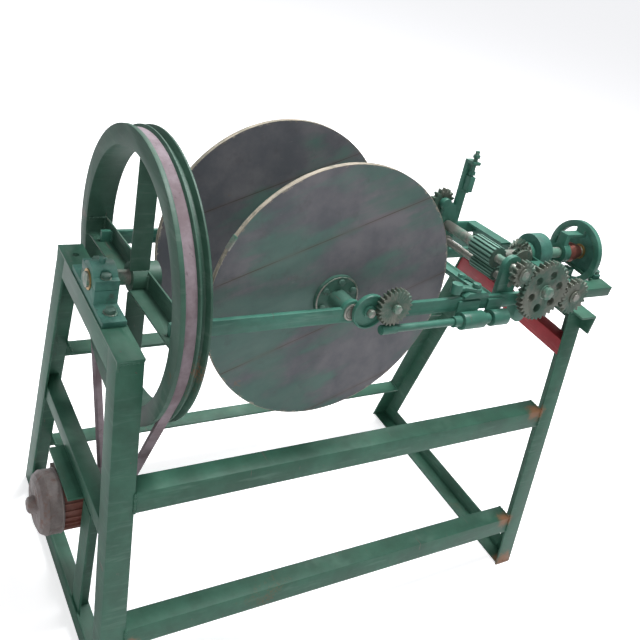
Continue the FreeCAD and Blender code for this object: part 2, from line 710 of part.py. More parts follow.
def pulley(y, z):
    half = PULLEY_WIDTH / 2
    floor = PULLEY_BELT_R - BELT_DEPTH - GROOVE_FLOOR
    lip = groove_half(PULLEY_R, PULLEY_BELT_R)
    low = groove_half(floor, PULLEY_BELT_R)
    outline = [
        (-half, MOTOR_SHAFT_R), (-half, PULLEY_R), (-lip, PULLEY_R), (-low, floor),
        (low, floor), (lip, PULLEY_R), (half, PULLEY_R), (half, MOTOR_SHAFT_R),
    ]
    body = turned([(x, 0, r) for x, r in outline], (0, 0, 0), (1, 0, 0))
    body.translate(V(BELT_X, y, z))
    return body


def belt():
    """A V-belt round the wheel and the motor pulley: two arcs and two straight runs."""
    wheel_c = (0.0, AXIS_Z)
    small_c = (MOTOR_Y, MOTOR_Z)
    reach = math.hypot(small_c[0], small_c[1] - AXIS_Z)
    toward = math.atan2(small_c[1] - AXIS_Z, small_c[0])
    lean = math.acos((BELT_TOP_R - PULLEY_BELT_R) / reach)
    top = BELT_WIDTH / 2
    low = top - BELT_DEPTH * math.tan(math.radians(BELT_FLANK))

    def section(r, angle, centre):
        out = V(0, math.cos(angle), math.sin(angle))
        here = V(BELT_X, centre[0], centre[1])
        across = V(1, 0, 0)
        corners = [
            here + out * r + across * top, here + out * r - across * top,
            here + out * (r - BELT_DEPTH) - across * low, here + out * (r - BELT_DEPTH) + across * low,
        ]
        return Part.Face(Part.makePolygon(corners + [corners[0]]))

    sweep = 360.0 - math.degrees(2 * lean)
    way = V(1, 0, 0)
    pieces = [
        section(BELT_TOP_R, toward + lean, wheel_c).revolve(V(0, *wheel_c), way, sweep),
        section(PULLEY_BELT_R, toward - lean, small_c).revolve(V(0, *small_c), way, math.degrees(2 * lean)),
    ]
    for a in (toward + lean, toward - lean):
        out = V(0, math.cos(a), math.sin(a))
        start = V(0, *wheel_c) + out * BELT_TOP_R
        end = V(0, *small_c) + out * PULLEY_BELT_R
        pieces.append(section(BELT_TOP_R, a, wheel_c).extrude(end - start))
    save("drive_belt", joined(pieces))


# Wheel and flyer

def wheel():
    x0 = WHEEL_LEFT
    x1 = WHEEL_LEFT + WHEEL_WIDTH
    floor = WHEEL_FLOOR
    lip = groove_half(WHEEL_R, BELT_TOP_R)
    low = groove_half(floor, BELT_TOP_R)
    spare = WHEEL_LEFT + SPARE_GROOVE_INSET
    spare_floor = WHEEL_R - SPARE_GROOVE_DEPTH
    spare_low = SPARE_GROOVE_HALF - SPARE_GROOVE_DEPTH * math.tan(math.radians(BELT_FLANK))
    outline = [
        (x0, WHEEL_INNER_R), (x0, WHEEL_R), (BELT_X - lip, WHEEL_R), (BELT_X - low, floor),
        (BELT_X + low, floor), (BELT_X + lip, WHEEL_R), (spare - SPARE_GROOVE_HALF, WHEEL_R),
        (spare - spare_low, spare_floor), (spare + spare_low, spare_floor),
        (spare + SPARE_GROOVE_HALF, WHEEL_R), (x1, WHEEL_R), (x1, WHEEL_INNER_R),
    ]
    rim = turned([(x, 0, r) for x, r in outline], (0, 0, 0), (1, 0, 0))
    save("belt_wheel_rim", rim, True)
    save("belt_wheel_hub", tube("x", HUB_RIGHT - HUB_LENGTH, HUB_RIGHT, 0, 0, HUB_R, STUB_R), True)
    half = SPOKE_ANGLE / 2
    s0 = WHEEL_LEFT + SPOKE_INSET
    s1 = s0 + SPOKE_ANGLE
    reach = WHEEL_INNER_R + 5
    spokes = []
    for k in range(4):
        y0 = -half if k < 2 else half - SPOKE_IRON
        flat = box(s1 - SPOKE_IRON, s1, -half, half, 0, reach)
        edge = box(s0, s1, y0, y0 + SPOKE_IRON, 0, reach)
        spoke = joined([flat, edge])
        spoke = spoke.common(rod("x", x0 - 5, x1 + 5, 0, 0, WHEEL_INNER_R))
        spoke = spoke.cut(rod("x", x0 - 9, HUB_RIGHT, 0, 0, HUB_R))
        spoke.rotate(V(0, 0, 0), V(1, 0, 0), 90.0 * k)
        for side in (-1, 1):
            inner = side * (BAR_OUT - BAR_IRON)
            outer = side * BAR_OUT
            slot = box(FLYER_LEFT, s1 + 9, min(inner, outer), max(inner, outer), BAR_LOW, BAR_TOP)
            spoke = spoke.cut(slot)
        spokes.append(spoke)
    save("belt_wheel_spokes", group(spokes), True)
    save("flyer_stub_shaft", rod("x", STUB_LEFT, HUB_RIGHT, 0, 0, STUB_R), True)


def flyer():
    for name, side in (("flyer_near_bar", -1), ("flyer_far_bar", 1)):
        y_in = side * (BAR_OUT - BAR_IRON)
        y_out = side * BAR_OUT
        low = min(y_in, y_out)
        high = max(y_in, y_out)
        pieces = [box(FLYER_LEFT, FLYER_RIGHT, low, high, BAR_LOW, BAR_TOP)]
        pieces.append(rod("y", low, high, REEL_X, 0, BAR_BOSS_R))
        if side < 0:
            pieces.append(rod("y", low, high, APEX_X, 0, SLEEVE_BOSS_R))
        bar = joined(pieces).cut(rod("y", -BAR_OUT - 1, BAR_OUT + 1, REEL_X, 0, REEL_BUSH_R))
        if side < 0:
            bar = bar.cut(rod("y", -BAR_OUT - 1, 0, APEX_X, 0, SLEEVE_R))
        save(name, bar, True)

    half = BAR_OUT - BAR_IRON
    x1 = FLYER_RIGHT
    web_face = x1 - END_IRON
    right = joined([
        box(web_face, x1, -half, half, BAR_LOW, BAR_TOP),
        box(x1 - END_DEPTH, x1, -half, half, BAR_TOP - END_IRON, BAR_TOP),
    ])
    clear = BEVEL_R + BEVEL_BACK + 6.0
    right = right.cut(box(x1 - END_DEPTH - 1, web_face, -clear, clear, BAR_LOW - 1, BAR_TOP + 1))
    right = joined([right, rod("x", web_face, PEDESTAL_LEFT - 1.5, 0, 0, BOSS_R)])
    save("flyer_right_bar", right.cut(rod("x", x1 - 90, x1 + 20, 0, 0, QUILL_R + RUN)), True)

    tail = joined([
        box(TAIL_X, TAIL_X + TAIL_IRON, -half, half, BAR_LOW, BAR_TOP),
        rod("x", SPINDLE_LEFT, TAIL_X + TAIL_IRON + 6, 0, 0, 24.0),
    ])
    save("flyer_tail_bar", tail.cut(rod("x", SPINDLE_LEFT - 1, TAIL_X + 40, 0, 0, SPINDLE_R)), True)

    bushes = []
    for side in (-1, 1):
        a = side * (BAR_OUT - BAR_IRON - REEL_BUSH_PROUD)
        b = side * (BAR_OUT + REEL_BUSH_PROUD)
        bushes.append(tube("y", min(a, b), max(a, b), REEL_X, 0, REEL_BUSH_R, REEL_SHAFT_R + RUN))
    sleeve = tube("y", -BAR_OUT - 6, -74, APEX_X, 0, SLEEVE_R, CROSS_SHAFT_R + RUN)
    save("flyer_bushes", group(bushes + [sleeve]), True)


def studs():
    """Fixed studs on the near bar that carry the holed gear, the take-up gear and the tension wheel."""
    x, z = HOLED_PLACE
    lug = box(x - 20, x + 20, -BAR_OUT - 8, -BAR_OUT, BAR_LOW + 4, z + 20)
    stud = rod("y", GEAR_PLANE - 3, -BAR_OUT - 8, x, z, STUD_R)
    collar = rod("y", GEAR_PLANE + GEAR_WIDTH + END_PLAY, -BAR_OUT - 8, x, z, 15.0)
    nut = hexagon("y", GEAR_PLANE - 13, GEAR_PLANE - END_PLAY, x, z, 26.0)
    pieces = [joined([lug, stud, collar, nut])]
    x = TAKE_UP_X
    z = TAKE_UP_Z
    low = box(x - 12, x + 12, -BAR_OUT - 4, -BAR_OUT, 0, z + 10)
    stud = rod("y", TAKE_UP_PLANE - 2, -BAR_OUT - 4, x, z, 6.0)
    nut = hexagon("y", TAKE_UP_PLANE - 9, TAKE_UP_PLANE - END_PLAY, x, z, 17.0)
    pieces.append(joined([low, stud, nut]))
    x = TENSION_X
    z = TENSION_Z
    stud = rod("y", TENSION_PLANE - 2, -BAR_OUT, x, z, 6.0)
    collar = rod("y", TENSION_PLANE + TENSION_WIDTH + END_PLAY, -BAR_OUT, x, z, 10.0)
    nut = hexagon("y", TENSION_PLANE - 9, TENSION_PLANE - END_PLAY, x, z, 15.0)
    pieces.append(joined([stud, collar, nut]))
    save("gear_studs", group(pieces), True)

    hangers = []
    left = (UPPER_PLACE[0] - HANGER_LEFT, HANGER_LENGTH, 19.0)
    right = (UPPER_PLACE[0] - HANGER_RIGHT, SHORT_HANGER_LENGTH, 18.0)
    for x, length, r in (left, right):
        boss = rod("x", x - length / 2, x + length / 2, LAY_Y, LAY_Z, r)
        boss = boss.cut(box(x - 40, x + 40, -BAR_OUT, -BAR_OUT + 60, -80, 80))
        strap = box(x - length / 2, x + length / 2, -BAR_OUT - 5, -BAR_OUT, LAY_Z - 10, 2)
        hanger = joined([boss, strap]).cut(rod("x", x - 40, x + 40, LAY_Y, LAY_Z, LAY_R + RUN))
        hangers.append(hanger)
    gearbox = joined([
        box(GEARBOX_X - 19, GEARBOX_X + 19, -BAR_OUT, -BAR_OUT + 26, BAR_LOW - 26, BAR_LOW),
        rod("y", -BAR_OUT, -BAR_OUT + 26, GEARBOX_X, BAR_LOW - 26, 19.0),
    ])
    save("lay_shaft_hangers", group(hangers + [gearbox]), True)


def roller_stand():
    ux, uz = UPPER_PLACE
    lx, lz = LOWER_PLACE
    fx, fz = FEED_PLACE
    y0 = -BAR_OUT + BAR_IRON
    y1 = y0 + STAND_IRON
    f0 = FAR_STAND_Y
    f1 = FAR_STAND_Y + STAND_IRON
    low = BAR_LOW - STAND_FLOOR
    near = joined([
        box(ux - STAND_HALF, ux + STAND_HALF, y0, y1, low, uz),
        rod("y", y0, y1, ux, uz, STAND_HALF),
    ])
    far = joined([
        box(ux - STAND_HALF, ux + STAND_HALF + 4, f0, f1, low, uz),
        rod("y", f0, f1, ux + 2, uz, STAND_HALF),
        box(fx - 6, ux + 20, f0, f1, uz, fz),
        rod("y", f0, f1, fx, fz, 14.0),
        box(POST_X - POST_WIDTH / 2, POST_X + POST_WIDTH / 2, f0, f1, uz, fz - 6),
    ])
    floor = box(ux - STAND_HALF + 6, ux + STAND_HALF - 6, y1, f0, low, low + STAND_FLOOR)
    tie = box(ux + STAND_HALF, TAIL_X, f0, f1, BAR_LOW, BAR_LOW + 24)
    body = joined([near, far, floor, tie])
    body = body.cut(rod("y", y0 - 1, f1 + 1, ux, uz, UPPER_SHAFT_R + RUN))
    body = body.cut(rod("y", y0 - 1, f1 + 1, lx, lz, LOWER_SHAFT_R + RUN))
    far_plane = f1 + FAR_GAP
    stud = joined([
        rod("y", f1, far_plane + FAR_GEAR_WIDTH + 2, fx, fz, 8.0),
        rod("y", f1, far_plane - END_PLAY, fx, fz, 12.0),
        rod("y", far_plane + FAR_GEAR_WIDTH + END_PLAY, far_plane + FAR_GEAR_WIDTH + 5, fx, fz, 12.0),
    ])

    px = POST_X
    half = POST_WIDTH / 2
    cap_y = f0 - 2 * SCREW_OUT
    post = joined([
        box(px - half, px + half, f0, f1, fz - 6, POST_TOP_Z),
        box(px - half, px + half, cap_y, f1, POST_TOP_Z - 7, POST_TOP_Z),
    ])
    sy = f0 - SCREW_OUT
    post = post.cut(rod("z", POST_TOP_Z - 9, POST_TOP_Z + 2, px, sy, SCREW_R + 0.4))
    save("roller_stand", joined([body, stud, post]), True)
    nut_low = POST_TOP_Z + SCREW_TRAVEL + 0.5
    block_top = POST_TOP_Z - 7 - SCREW_TRAVEL - 0.5
    screw = joined([
        rod("z", block_top - 60, nut_low + 16, px, sy, SCREW_R),
        hexagon("z", nut_low, nut_low + 7, px, sy, 15.0),
        hexagon("z", block_top - 16, block_top - 8, px, sy, 15.0),
        box(px - BLOCK_HALF, px + BLOCK_HALF, sy - SCREW_OUT, f0 - END_PLAY, block_top - 56, block_top - 20),
    ])
    save("pressure_screw", screw, True)


def fluted(x, z, radius, flutes, start):
    """The ribbed middle of a roller, with rounded grooves along it."""
    body = rod("y", FLUTED_NEAR, FLUTED_FAR, x, z, radius)
    groove_r = math.pi * radius / flutes * 0.52
    cuts = []
    for k in range(flutes):
        a = start + 2 * math.pi * k / flutes
        gx = x + radius * math.cos(a)
        gz = z + radius * math.sin(a)
        cuts.append(rod("y", FLUTED_NEAR - 1, FLUTED_FAR + 1, gx, gz, groove_r))
    return body.cut(cuts[0].multiFuse(cuts[1:]))


def rollers():
    ux, uz = UPPER_PLACE
    lx, lz = LOWER_PLACE
    fx, fz = FEED_PLACE
    f1 = FAR_STAND_Y + STAND_IRON
    far_plane = f1 + FAR_GAP
    shaft = rod("y", GEAR_PLANE - 5, far_plane + FAR_GEAR_WIDTH + 6, ux, uz, UPPER_SHAFT_R)
    sleeve = rod("y", FLUTED_FAR, FAR_STAND_Y - END_PLAY, ux, uz, UPPER_SHAFT_R + 2)
    save("upper_roller", joined([fluted(ux, uz, UPPER_ROLLER_R, UPPER_FLUTES, 0.0), shaft, sleeve]), True)
    pinion = spur_gear(ux, uz, GEAR_PLANE, GEAR_WIDTH, PINION_TEETH, PINION_PHASE, UPPER_SHAFT_R)
    save("roller_pinion", pinion, True)
    upper = spur_gear(ux, uz, far_plane, FAR_GEAR_WIDTH, UPPER_TEETH, UPPER_PHASE, UPPER_SHAFT_R)
    save("roller_far_gear", upper, True)

    y0 = -BAR_OUT + BAR_IRON
    shaft = rod("y", y0 + 0.5, f1 + 4, lx, lz, LOWER_SHAFT_R)
    collar = rod("y", y0 + STAND_IRON + END_PLAY, y0 + STAND_IRON + 12, lx, lz, 14.0)
    far_collar = rod("y", FAR_STAND_Y - 10, FAR_STAND_Y - END_PLAY, lx, lz, 13.0)
    body = joined([fluted(lx, lz, LOWER_ROLLER_R, LOWER_FLUTES, 0.0), shaft, collar, far_collar])
    save("lower_roller", body, True)
    feed = spur_gear(fx, fz, far_plane, FAR_GEAR_WIDTH, FEED_TEETH, FEED_PHASE, 8.0 + RUN)
    save("feed_gear", feed, True)


def cross_shaft():
    end = -BEVEL_R + BEVEL_FACE
    save("cross_shaft", rod("y", GEAR_PLANE - 6, end + 4, APEX_X, 0, CROSS_SHAFT_R), True)
    planet = bevel_gear(math.pi / BEVEL_TEETH, CROSS_SHAFT_R)
    planet.rotate(V(0, 0, 0), V(0, 0, 1), -90)
    planet.translate(V(APEX_X, -PLANET_CLEAR, 0))
    save("planet_bevel_gear", planet, True)
    gear = spur_gear(APEX_X, 0, GEAR_PLANE, GEAR_WIDTH, CROSS_TEETH, 0.0, CROSS_SHAFT_R)
    save("driver_gear", gear, True)


def holed_gear():
    x, z = HOLED_PLACE
    gear = spur_gear(x, z, GEAR_PLANE, GEAR_WIDTH, HOLED_TEETH, HOLED_PHASE, STUD_R + RUN)
    for k in range(6):
        a = math.pi / 3 * k + 0.3
        hx = x + 40 * math.cos(a)
        hz = z + 40 * math.sin(a)
        gear = gear.cut(rod("y", GEAR_PLANE - 1, GEAR_PLANE + GEAR_WIDTH + 1, hx, hz, 10.5))
    save("holed_gear", gear, True)


def lay_shaft():
    worm_left = TAKE_UP_X - WORM_LENGTH / 2
    hanger = UPPER_PLACE[0] - HANGER_LEFT
    shaft = joined([
        rod("x", worm_left - 2, UPPER_PLACE[0] - LAY_SHORT, LAY_Y, LAY_Z, LAY_R),
        rod("x", hanger + HANGER_LENGTH / 2 + 1, hanger + HANGER_LENGTH / 2 + 19, LAY_Y, LAY_Z, 12.0),
        rod("x", hanger - HANGER_LENGTH / 2 - 21, hanger - HANGER_LENGTH / 2 - 1, LAY_Y, LAY_Z, 12.0),
    ])
    worm = rod("x", worm_left, worm_left + WORM_LENGTH, LAY_Y, LAY_Z, WORM_R)
    save("lay_shaft", joined([shaft, worm]), True)
    gear = spur_gear(TAKE_UP_X, TAKE_UP_Z, TAKE_UP_PLANE, TAKE_UP_WIDTH, TAKE_UP_TEETH, 0.1, 6.0 + RUN, TAKE_UP_MODULE)
    save("take_up_gear", gear, True)
    low = TENSION_PLANE
    high = TENSION_PLANE + TENSION_WIDTH
    outline = [
        (low, 6.0 + RUN), (low, 12), (low + TENSION_RECESS, 13), (low + TENSION_RECESS, TENSION_R - 5),
        (low, TENSION_R - 3.5), (low, TENSION_R - 1), (low + 1.5, TENSION_R), (high - 1.5, TENSION_R),
        (high, TENSION_R - 1), (high, 6.0 + RUN),
    ]
    wheel_shape = turned([(r, y, 0) for y, r in outline], (0, 0, 0), (0, 1, 0))
    wheel_shape.translate(V(TENSION_X, 0, TENSION_Z))
    save("tension_wheel", wheel_shape, True)


# Reel

def reel():
    x = REEL_X
    ring = []
    for k in range(REEL_BOLTS):
        a = 2 * math.pi * k / REEL_BOLTS + 0.5
        ring.append((x + REEL_BOLT_RING * math.cos(a), REEL_BOLT_RING * math.sin(a)))
    inner = REEL_HALF - BOARD
    discs = []
    for y0 in (-REEL_HALF, REEL_HALF - BOARD):
        disc = rod("y", y0, y0 + BOARD, x, 0, REEL_R)
        disc = disc.cut(rod("y", y0 - 1, y0 + BOARD + 1, x, 0, REEL_SHAFT_R))
        for u, w in ring:
            disc = disc.cut(rod("y", y0 - 1, y0 + BOARD + 1, u, w, 4.2))
        discs.append(disc)
    save("reel_discs", group(discs), True)
    save("reel_core", tube("y", -inner, inner, x, 0, CORE_R, CORE_R - CORE_WALL), True)
    save("reel_shaft", rod("y", -BAR_OUT - REEL_SHAFT_PROUD, BAR_OUT + 16, x, 0, REEL_SHAFT_R), True)
    bush_face = BAR_OUT - BAR_IRON - REEL_BUSH_PROUD
    flanges = []
    bolts = []
    for side in (-1, 1):
        face = side * REEL_HALF
        plate_end = face + side * FLANGE_IRON
        boss_end = side * (bush_face - END_PLAY)
        flange = joined([
            rod("y", min(face, plate_end), max(face, plate_end), x, 0, FLANGE_R),
            rod("y", min(face, boss_end), max(face, boss_end), x, 0, 21.0),
        ])
        flange = flange.cut(rod("y", -BAR_OUT, BAR_OUT, x, 0, REEL_SHAFT_R))
        for u, w in ring:
            flange = flange.cut(rod("y", min(face, plate_end) - 1, max(face, plate_end) + 1, u, w, 4.2))
            head_end = plate_end + side * 6
            head = hexagon("y", min(plate_end, head_end), max(plate_end, head_end), u, w, 13.0)
            tail = face - side * (BOARD + 7)
            shank = rod("y", min(plate_end, tail), max(plate_end, tail), u, w, 4.0)
            bolts.append(joined([head, shank]))
        flanges.append(flange)
    save("reel_hub_flanges", group(flanges), True)
    save("reel_bolts", group(bolts), True)


def guide():
    """A block on the near bar's top with a swinging hooked arm that lays the rope."""
    y = -BAR_OUT + BAR_IRON / 2
    z0 = BAR_TOP
    outline = [(-34, 0), (34, 0), (34, 5), (24, 13), (-22, 13), (-34, 5)]
    block = prism([(GUIDE_X + u, y - 12, z0 + w) for u, w in outline], (0, 24, 0))
    pin = rod("z", z0 + 13, z0 + 30, GUIDE_X, y, 5.0)
    nut = hexagon("z", z0 + 13 + 8 + 2 * END_PLAY, z0 + 30, GUIDE_X, y, 17.0)
    save("guide_block", joined([block, pin, nut]), True)
    low = z0 + 13 + END_PLAY
    eye = rod("z", low, low + 8, GUIDE_X, y, 13.0)
    flat = prism([(GUIDE_X + u, y + w, low) for u, w in [(-10, 0), (10, 0), (8, GUIDE_BAR), (-12, GUIDE_BAR)]], (0, 0, 8))
    bolt = hexagon("z", low + 8, low + 15, GUIDE_X - 1, y + 0.45 * GUIDE_BAR, 15.0)
    bent = [(-4, -11), (-4, 11), (-28, 16), (-46, 12), (-HOOK_REACH, 2), (-HOOK_REACH, -12), (-50, -6), (-30, 0)]
    hook = prism([(GUIDE_X + u, y + w, low) for u, w in bent], (0, 0, 8))
    knob = rod("z", low, low + 22, GUIDE_X - HOOK_REACH + 4, y - 2, 12.0)
    body = joined([eye, flat, bolt, hook, knob]).cut(rod("z", low - 1, low + 9, GUIDE_X, y, 5.0 + RUN))
    save("guide_arm", body, True)


def feed_end():
    """The hollow spindle that turns with the flyer, its spider, feed ring and throat."""
    pipe = tube("x", SPINDLE_LEFT, SPINDLE_RIGHT, 0, 0, SPINDLE_R, SPINDLE_BORE_R)
    save("flyer_spindle", pipe, True)
    x0 = SPIDER_LEFT
    spider = [tube("x", x0, x0 + SPIDER_WIDTH + 8, 0, 0, SPIDER_HUB_R, SPINDLE_R)]
    half = BLADE_WIDTH / 2
    ring = tube("x", RING_LEFT, RING_LEFT + RING_WIDTH, 0, 0, RING_R, RING_INNER_R)
    top = BLADE_RISE + BLADE_IRON
    for side in (1, -1):
        a = side * SPINDLE_R * 1.3
        b = side * top
        spider.append(box(x0, x0 + SPIDER_WIDTH, -half, half, min(a, b), max(a, b)))
        a = side * BLADE_RISE
        spider.append(box(x0, RING_LEFT + RING_WIDTH, -half, half, min(a, b), max(a, b)))
        b = side * (RING_INNER_R + 4)
        spider.append(box(RING_LEFT, RING_LEFT + RING_WIDTH, -half, half, min(a, b), max(a, b)))
    body = joined(spider + [ring])
    save("feed_ring", body, True)
    throat = [
        (THROAT_LEFT, SPINDLE_R), (THROAT_LEFT, 24), (THROAT_LEFT + 18, 27), (THROAT_RIGHT - 14, 22),
        (THROAT_RIGHT, 18), (THROAT_RIGHT, SPINDLE_R),
    ]
    cone = turned([(x, 0, r) for x, r in throat], (0, 0, 0), (1, 0, 0))
    save("feed_throat", cone, True)


def polar(place, distance, degrees):
    a = math.radians(degrees)
    return (place[0] + distance * math.cos(a), place[1] + distance * math.sin(a))


def pair_distance(teeth_a, teeth_b):
    return (teeth_a + teeth_b) * MODULE / 2.0


CROSS_PLACE = (APEX_X, 0.0)
HOLED_PLACE = polar(CROSS_PLACE, pair_distance(CROSS_TEETH, HOLED_TEETH), HOLED_DIRECTION)
UPPER_PLACE = polar(HOLED_PLACE, pair_distance(HOLED_TEETH, PINION_TEETH), PINION_DIRECTION)
LOWER_PLACE = polar(UPPER_PLACE, UPPER_ROLLER_R + LOWER_ROLLER_R + NIP, LOWER_DIRECTION)
FEED_PLACE = polar(UPPER_PLACE, pair_distance(UPPER_TEETH, FEED_TEETH), FEED_DIRECTION)
FAR_GAP = 5.0
POST_X = UPPER_PLACE[0] + POST_OUT
GUIDE_X = UPPER_PLACE[0] - GUIDE_BACK
GEARBOX_X = UPPER_PLACE[0] + GEARBOX_OUT
HOLED_PHASE = mesh_phase(CROSS_TEETH, 0.0, math.radians(HOLED_DIRECTION), HOLED_TEETH)
PINION_PHASE = mesh_phase(HOLED_TEETH, HOLED_PHASE, math.radians(PINION_DIRECTION), PINION_TEETH)
UPPER_PHASE = 0.0
FEED_PHASE = mesh_phase(UPPER_TEETH, UPPER_PHASE, math.radians(FEED_DIRECTION), FEED_TEETH)


def main():
    os.makedirs("parts", exist_ok=True)
    frame()
    outrigger()
    plummer_block()
    arch_pedestal()
    outer_pedestal()
    frame_bolts()
    motor()
    belt()
    wheel()
    flyer()
    studs()
    roller_stand()
    rollers()
    cross_shaft()
    holed_gear()
    lay_shaft()
    reel()
    guide()
    feed_end()


main()
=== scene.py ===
import json
import math
import bmesh
import bpy
from mathutils import Matrix, Vector

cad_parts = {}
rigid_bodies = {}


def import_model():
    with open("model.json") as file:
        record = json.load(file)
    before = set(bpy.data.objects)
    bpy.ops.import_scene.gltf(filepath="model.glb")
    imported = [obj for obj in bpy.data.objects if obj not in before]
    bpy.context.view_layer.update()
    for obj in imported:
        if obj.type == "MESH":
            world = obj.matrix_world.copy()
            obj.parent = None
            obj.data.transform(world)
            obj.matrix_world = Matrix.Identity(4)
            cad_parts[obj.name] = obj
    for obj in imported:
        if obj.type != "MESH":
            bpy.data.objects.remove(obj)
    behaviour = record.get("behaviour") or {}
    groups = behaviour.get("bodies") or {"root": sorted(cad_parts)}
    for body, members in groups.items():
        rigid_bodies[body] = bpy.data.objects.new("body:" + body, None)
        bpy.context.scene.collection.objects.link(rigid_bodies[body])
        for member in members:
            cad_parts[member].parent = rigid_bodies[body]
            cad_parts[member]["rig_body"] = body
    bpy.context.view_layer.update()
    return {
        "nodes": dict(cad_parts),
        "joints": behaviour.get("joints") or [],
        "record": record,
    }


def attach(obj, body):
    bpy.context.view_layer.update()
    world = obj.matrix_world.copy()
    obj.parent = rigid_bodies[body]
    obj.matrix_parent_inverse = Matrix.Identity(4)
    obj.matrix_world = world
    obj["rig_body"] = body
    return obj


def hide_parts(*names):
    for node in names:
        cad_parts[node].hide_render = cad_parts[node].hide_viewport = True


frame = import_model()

NODES = frame["nodes"]
JOINTS = {joint["name"]: joint for joint in frame["joints"]}

# Where the machine's axes run, read from the joints
MAIN_AXIS = Vector(JOINTS["flyer_spin"]["pos_m"])
CROSSWAYS = Vector(JOINTS["reel_spin"]["axis"])
UPWARDS = Vector((1, 0, 0)).cross(CROSSWAYS)
REEL_CENTRE = Vector(JOINTS["reel_spin"]["pos_m"])
MOTOR_CENTRE = Vector(JOINTS["motor_spin"]["pos_m"])
FRAME_START = JOINTS["cross_shaft_spin"]["pos_m"][0] - 1.055


def flyer_point(x, across, up):
    """A point given in the flyer's own directions, in millimetres from the machine's left end."""
    start = Vector((FRAME_START + x / 1000, 0, MAIN_AXIS.z))
    return start + CROSSWAYS * (across / 1000) + UPWARDS * (up / 1000)


def frame_point(x, y, z):
    return Vector((FRAME_START + x / 1000, y / 1000, z / 1000))


# Finishes

class Value:
    """A socket's value with ordinary arithmetic."""

    def __init__(self, finish, socket):
        self.finish = finish
        self.socket = socket

    def math(self, kind, other=None, third=None, clamp=False):
        values = [self] + [v for v in (other, third) if v is not None]
        return self.finish.node("ShaderNodeMath", values, operation=kind, use_clamp=clamp)

    def __add__(self, other):
        return self.math("ADD", other)

    def __sub__(self, other):
        return self.math("SUBTRACT", other)

    def __mul__(self, other):
        return self.math("MULTIPLY", other)

    def __truediv__(self, other):
        return self.math("DIVIDE", other)

    def __rsub__(self, other):
        return self.finish.node("ShaderNodeMath", [other, self], operation="SUBTRACT")

    __radd__ = __add__
    __rmul__ = __mul__

    def between(self, low, high):
        """0 below low, 1 above high, and smooth in between."""
        sockets = {"Value": self, "From Min": low, "From Max": high}
        return self.finish.node("ShaderNodeMapRange", sockets, interpolation_type="SMOOTHSTEP")


class Finish:
    """One material: its shader, and one method that adds any node."""

    def __init__(self, name):
        self.material = bpy.data.materials.new(name)
        self.material.use_nodes = True
        self.tree = self.material.node_tree
        self.shader = self.tree.nodes["Principled BSDF"]
        self.place = self.node("ShaderNodeTexCoord", output="Object")

    def node(self, kind, sockets=(), output=0, ramp=None, **settings):
        made = self.tree.nodes.new(kind)
        for key, value in settings.items():
            setattr(made, key, value)
        if ramp:
            stops = made.color_ramp.elements
            while len(stops) < len(ramp):
                stops.new(0.5)
            for stop, (position, colour) in zip(stops, ramp):
                stop.position = position
                stop.color = (*colour, 1)
        pairs = sockets.items() if isinstance(sockets, dict) else enumerate(sockets)
        for key, value in pairs:
            self.link(value, made.inputs[key])
        return Value(self, made.outputs[output])

    def link(self, value, socket):
        if isinstance(value, Value):
            self.tree.links.new(value.socket, socket)
        else:
            socket.default_value = value

    def set(self, **values):
        for key, value in values.items():
            self.link(value, self.shader.inputs[key.replace("_", " ")])

    def stretched(self, size, turn=(0, 0, 0)):
        return self.node("ShaderNodeMapping", {"Vector": self.place, "Scale": size, "Rotation": turn})

    def noise(self, scale, detail=4.0, rough=0.6, at=None, output="Fac"):
        sockets = {"Vector": at or self.place, "Scale": scale, "Detail": detail, "Roughness": rough}
        return self.node("ShaderNodeTexNoise", sockets, output=output)

    def mix(self, factor, first, second):
        sockets = {0: factor, 6: colour4(first), 7: colour4(second)}
        return self.node("ShaderNodeMix", sockets, output=2, data_type="RGBA")

    def bump(self, height, strength, distance):
        sockets = {"Height": height, "Strength": strength, "Distance": distance}
        self.set(Normal=self.node("ShaderNodeBump", sockets))

    def part(self, axis, at=None):
        return self.node("ShaderNodeSeparateXYZ", [at or self.place], output=axis)

    def along(self, direction, centre=(0, 0, 0)):
        """How far a point lies along a direction from a centre."""
        shifted = self.node("ShaderNodeVectorMath", [self.place, tuple(centre)], operation="SUBTRACT")
        sockets = [shifted, tuple(direction)]
        return self.node("ShaderNodeVectorMath", sockets, output="Value", operation="DOT_PRODUCT")


def colour4(value):
    return value if isinstance(value, Value) or len(value) == 4 else (*value, 1)


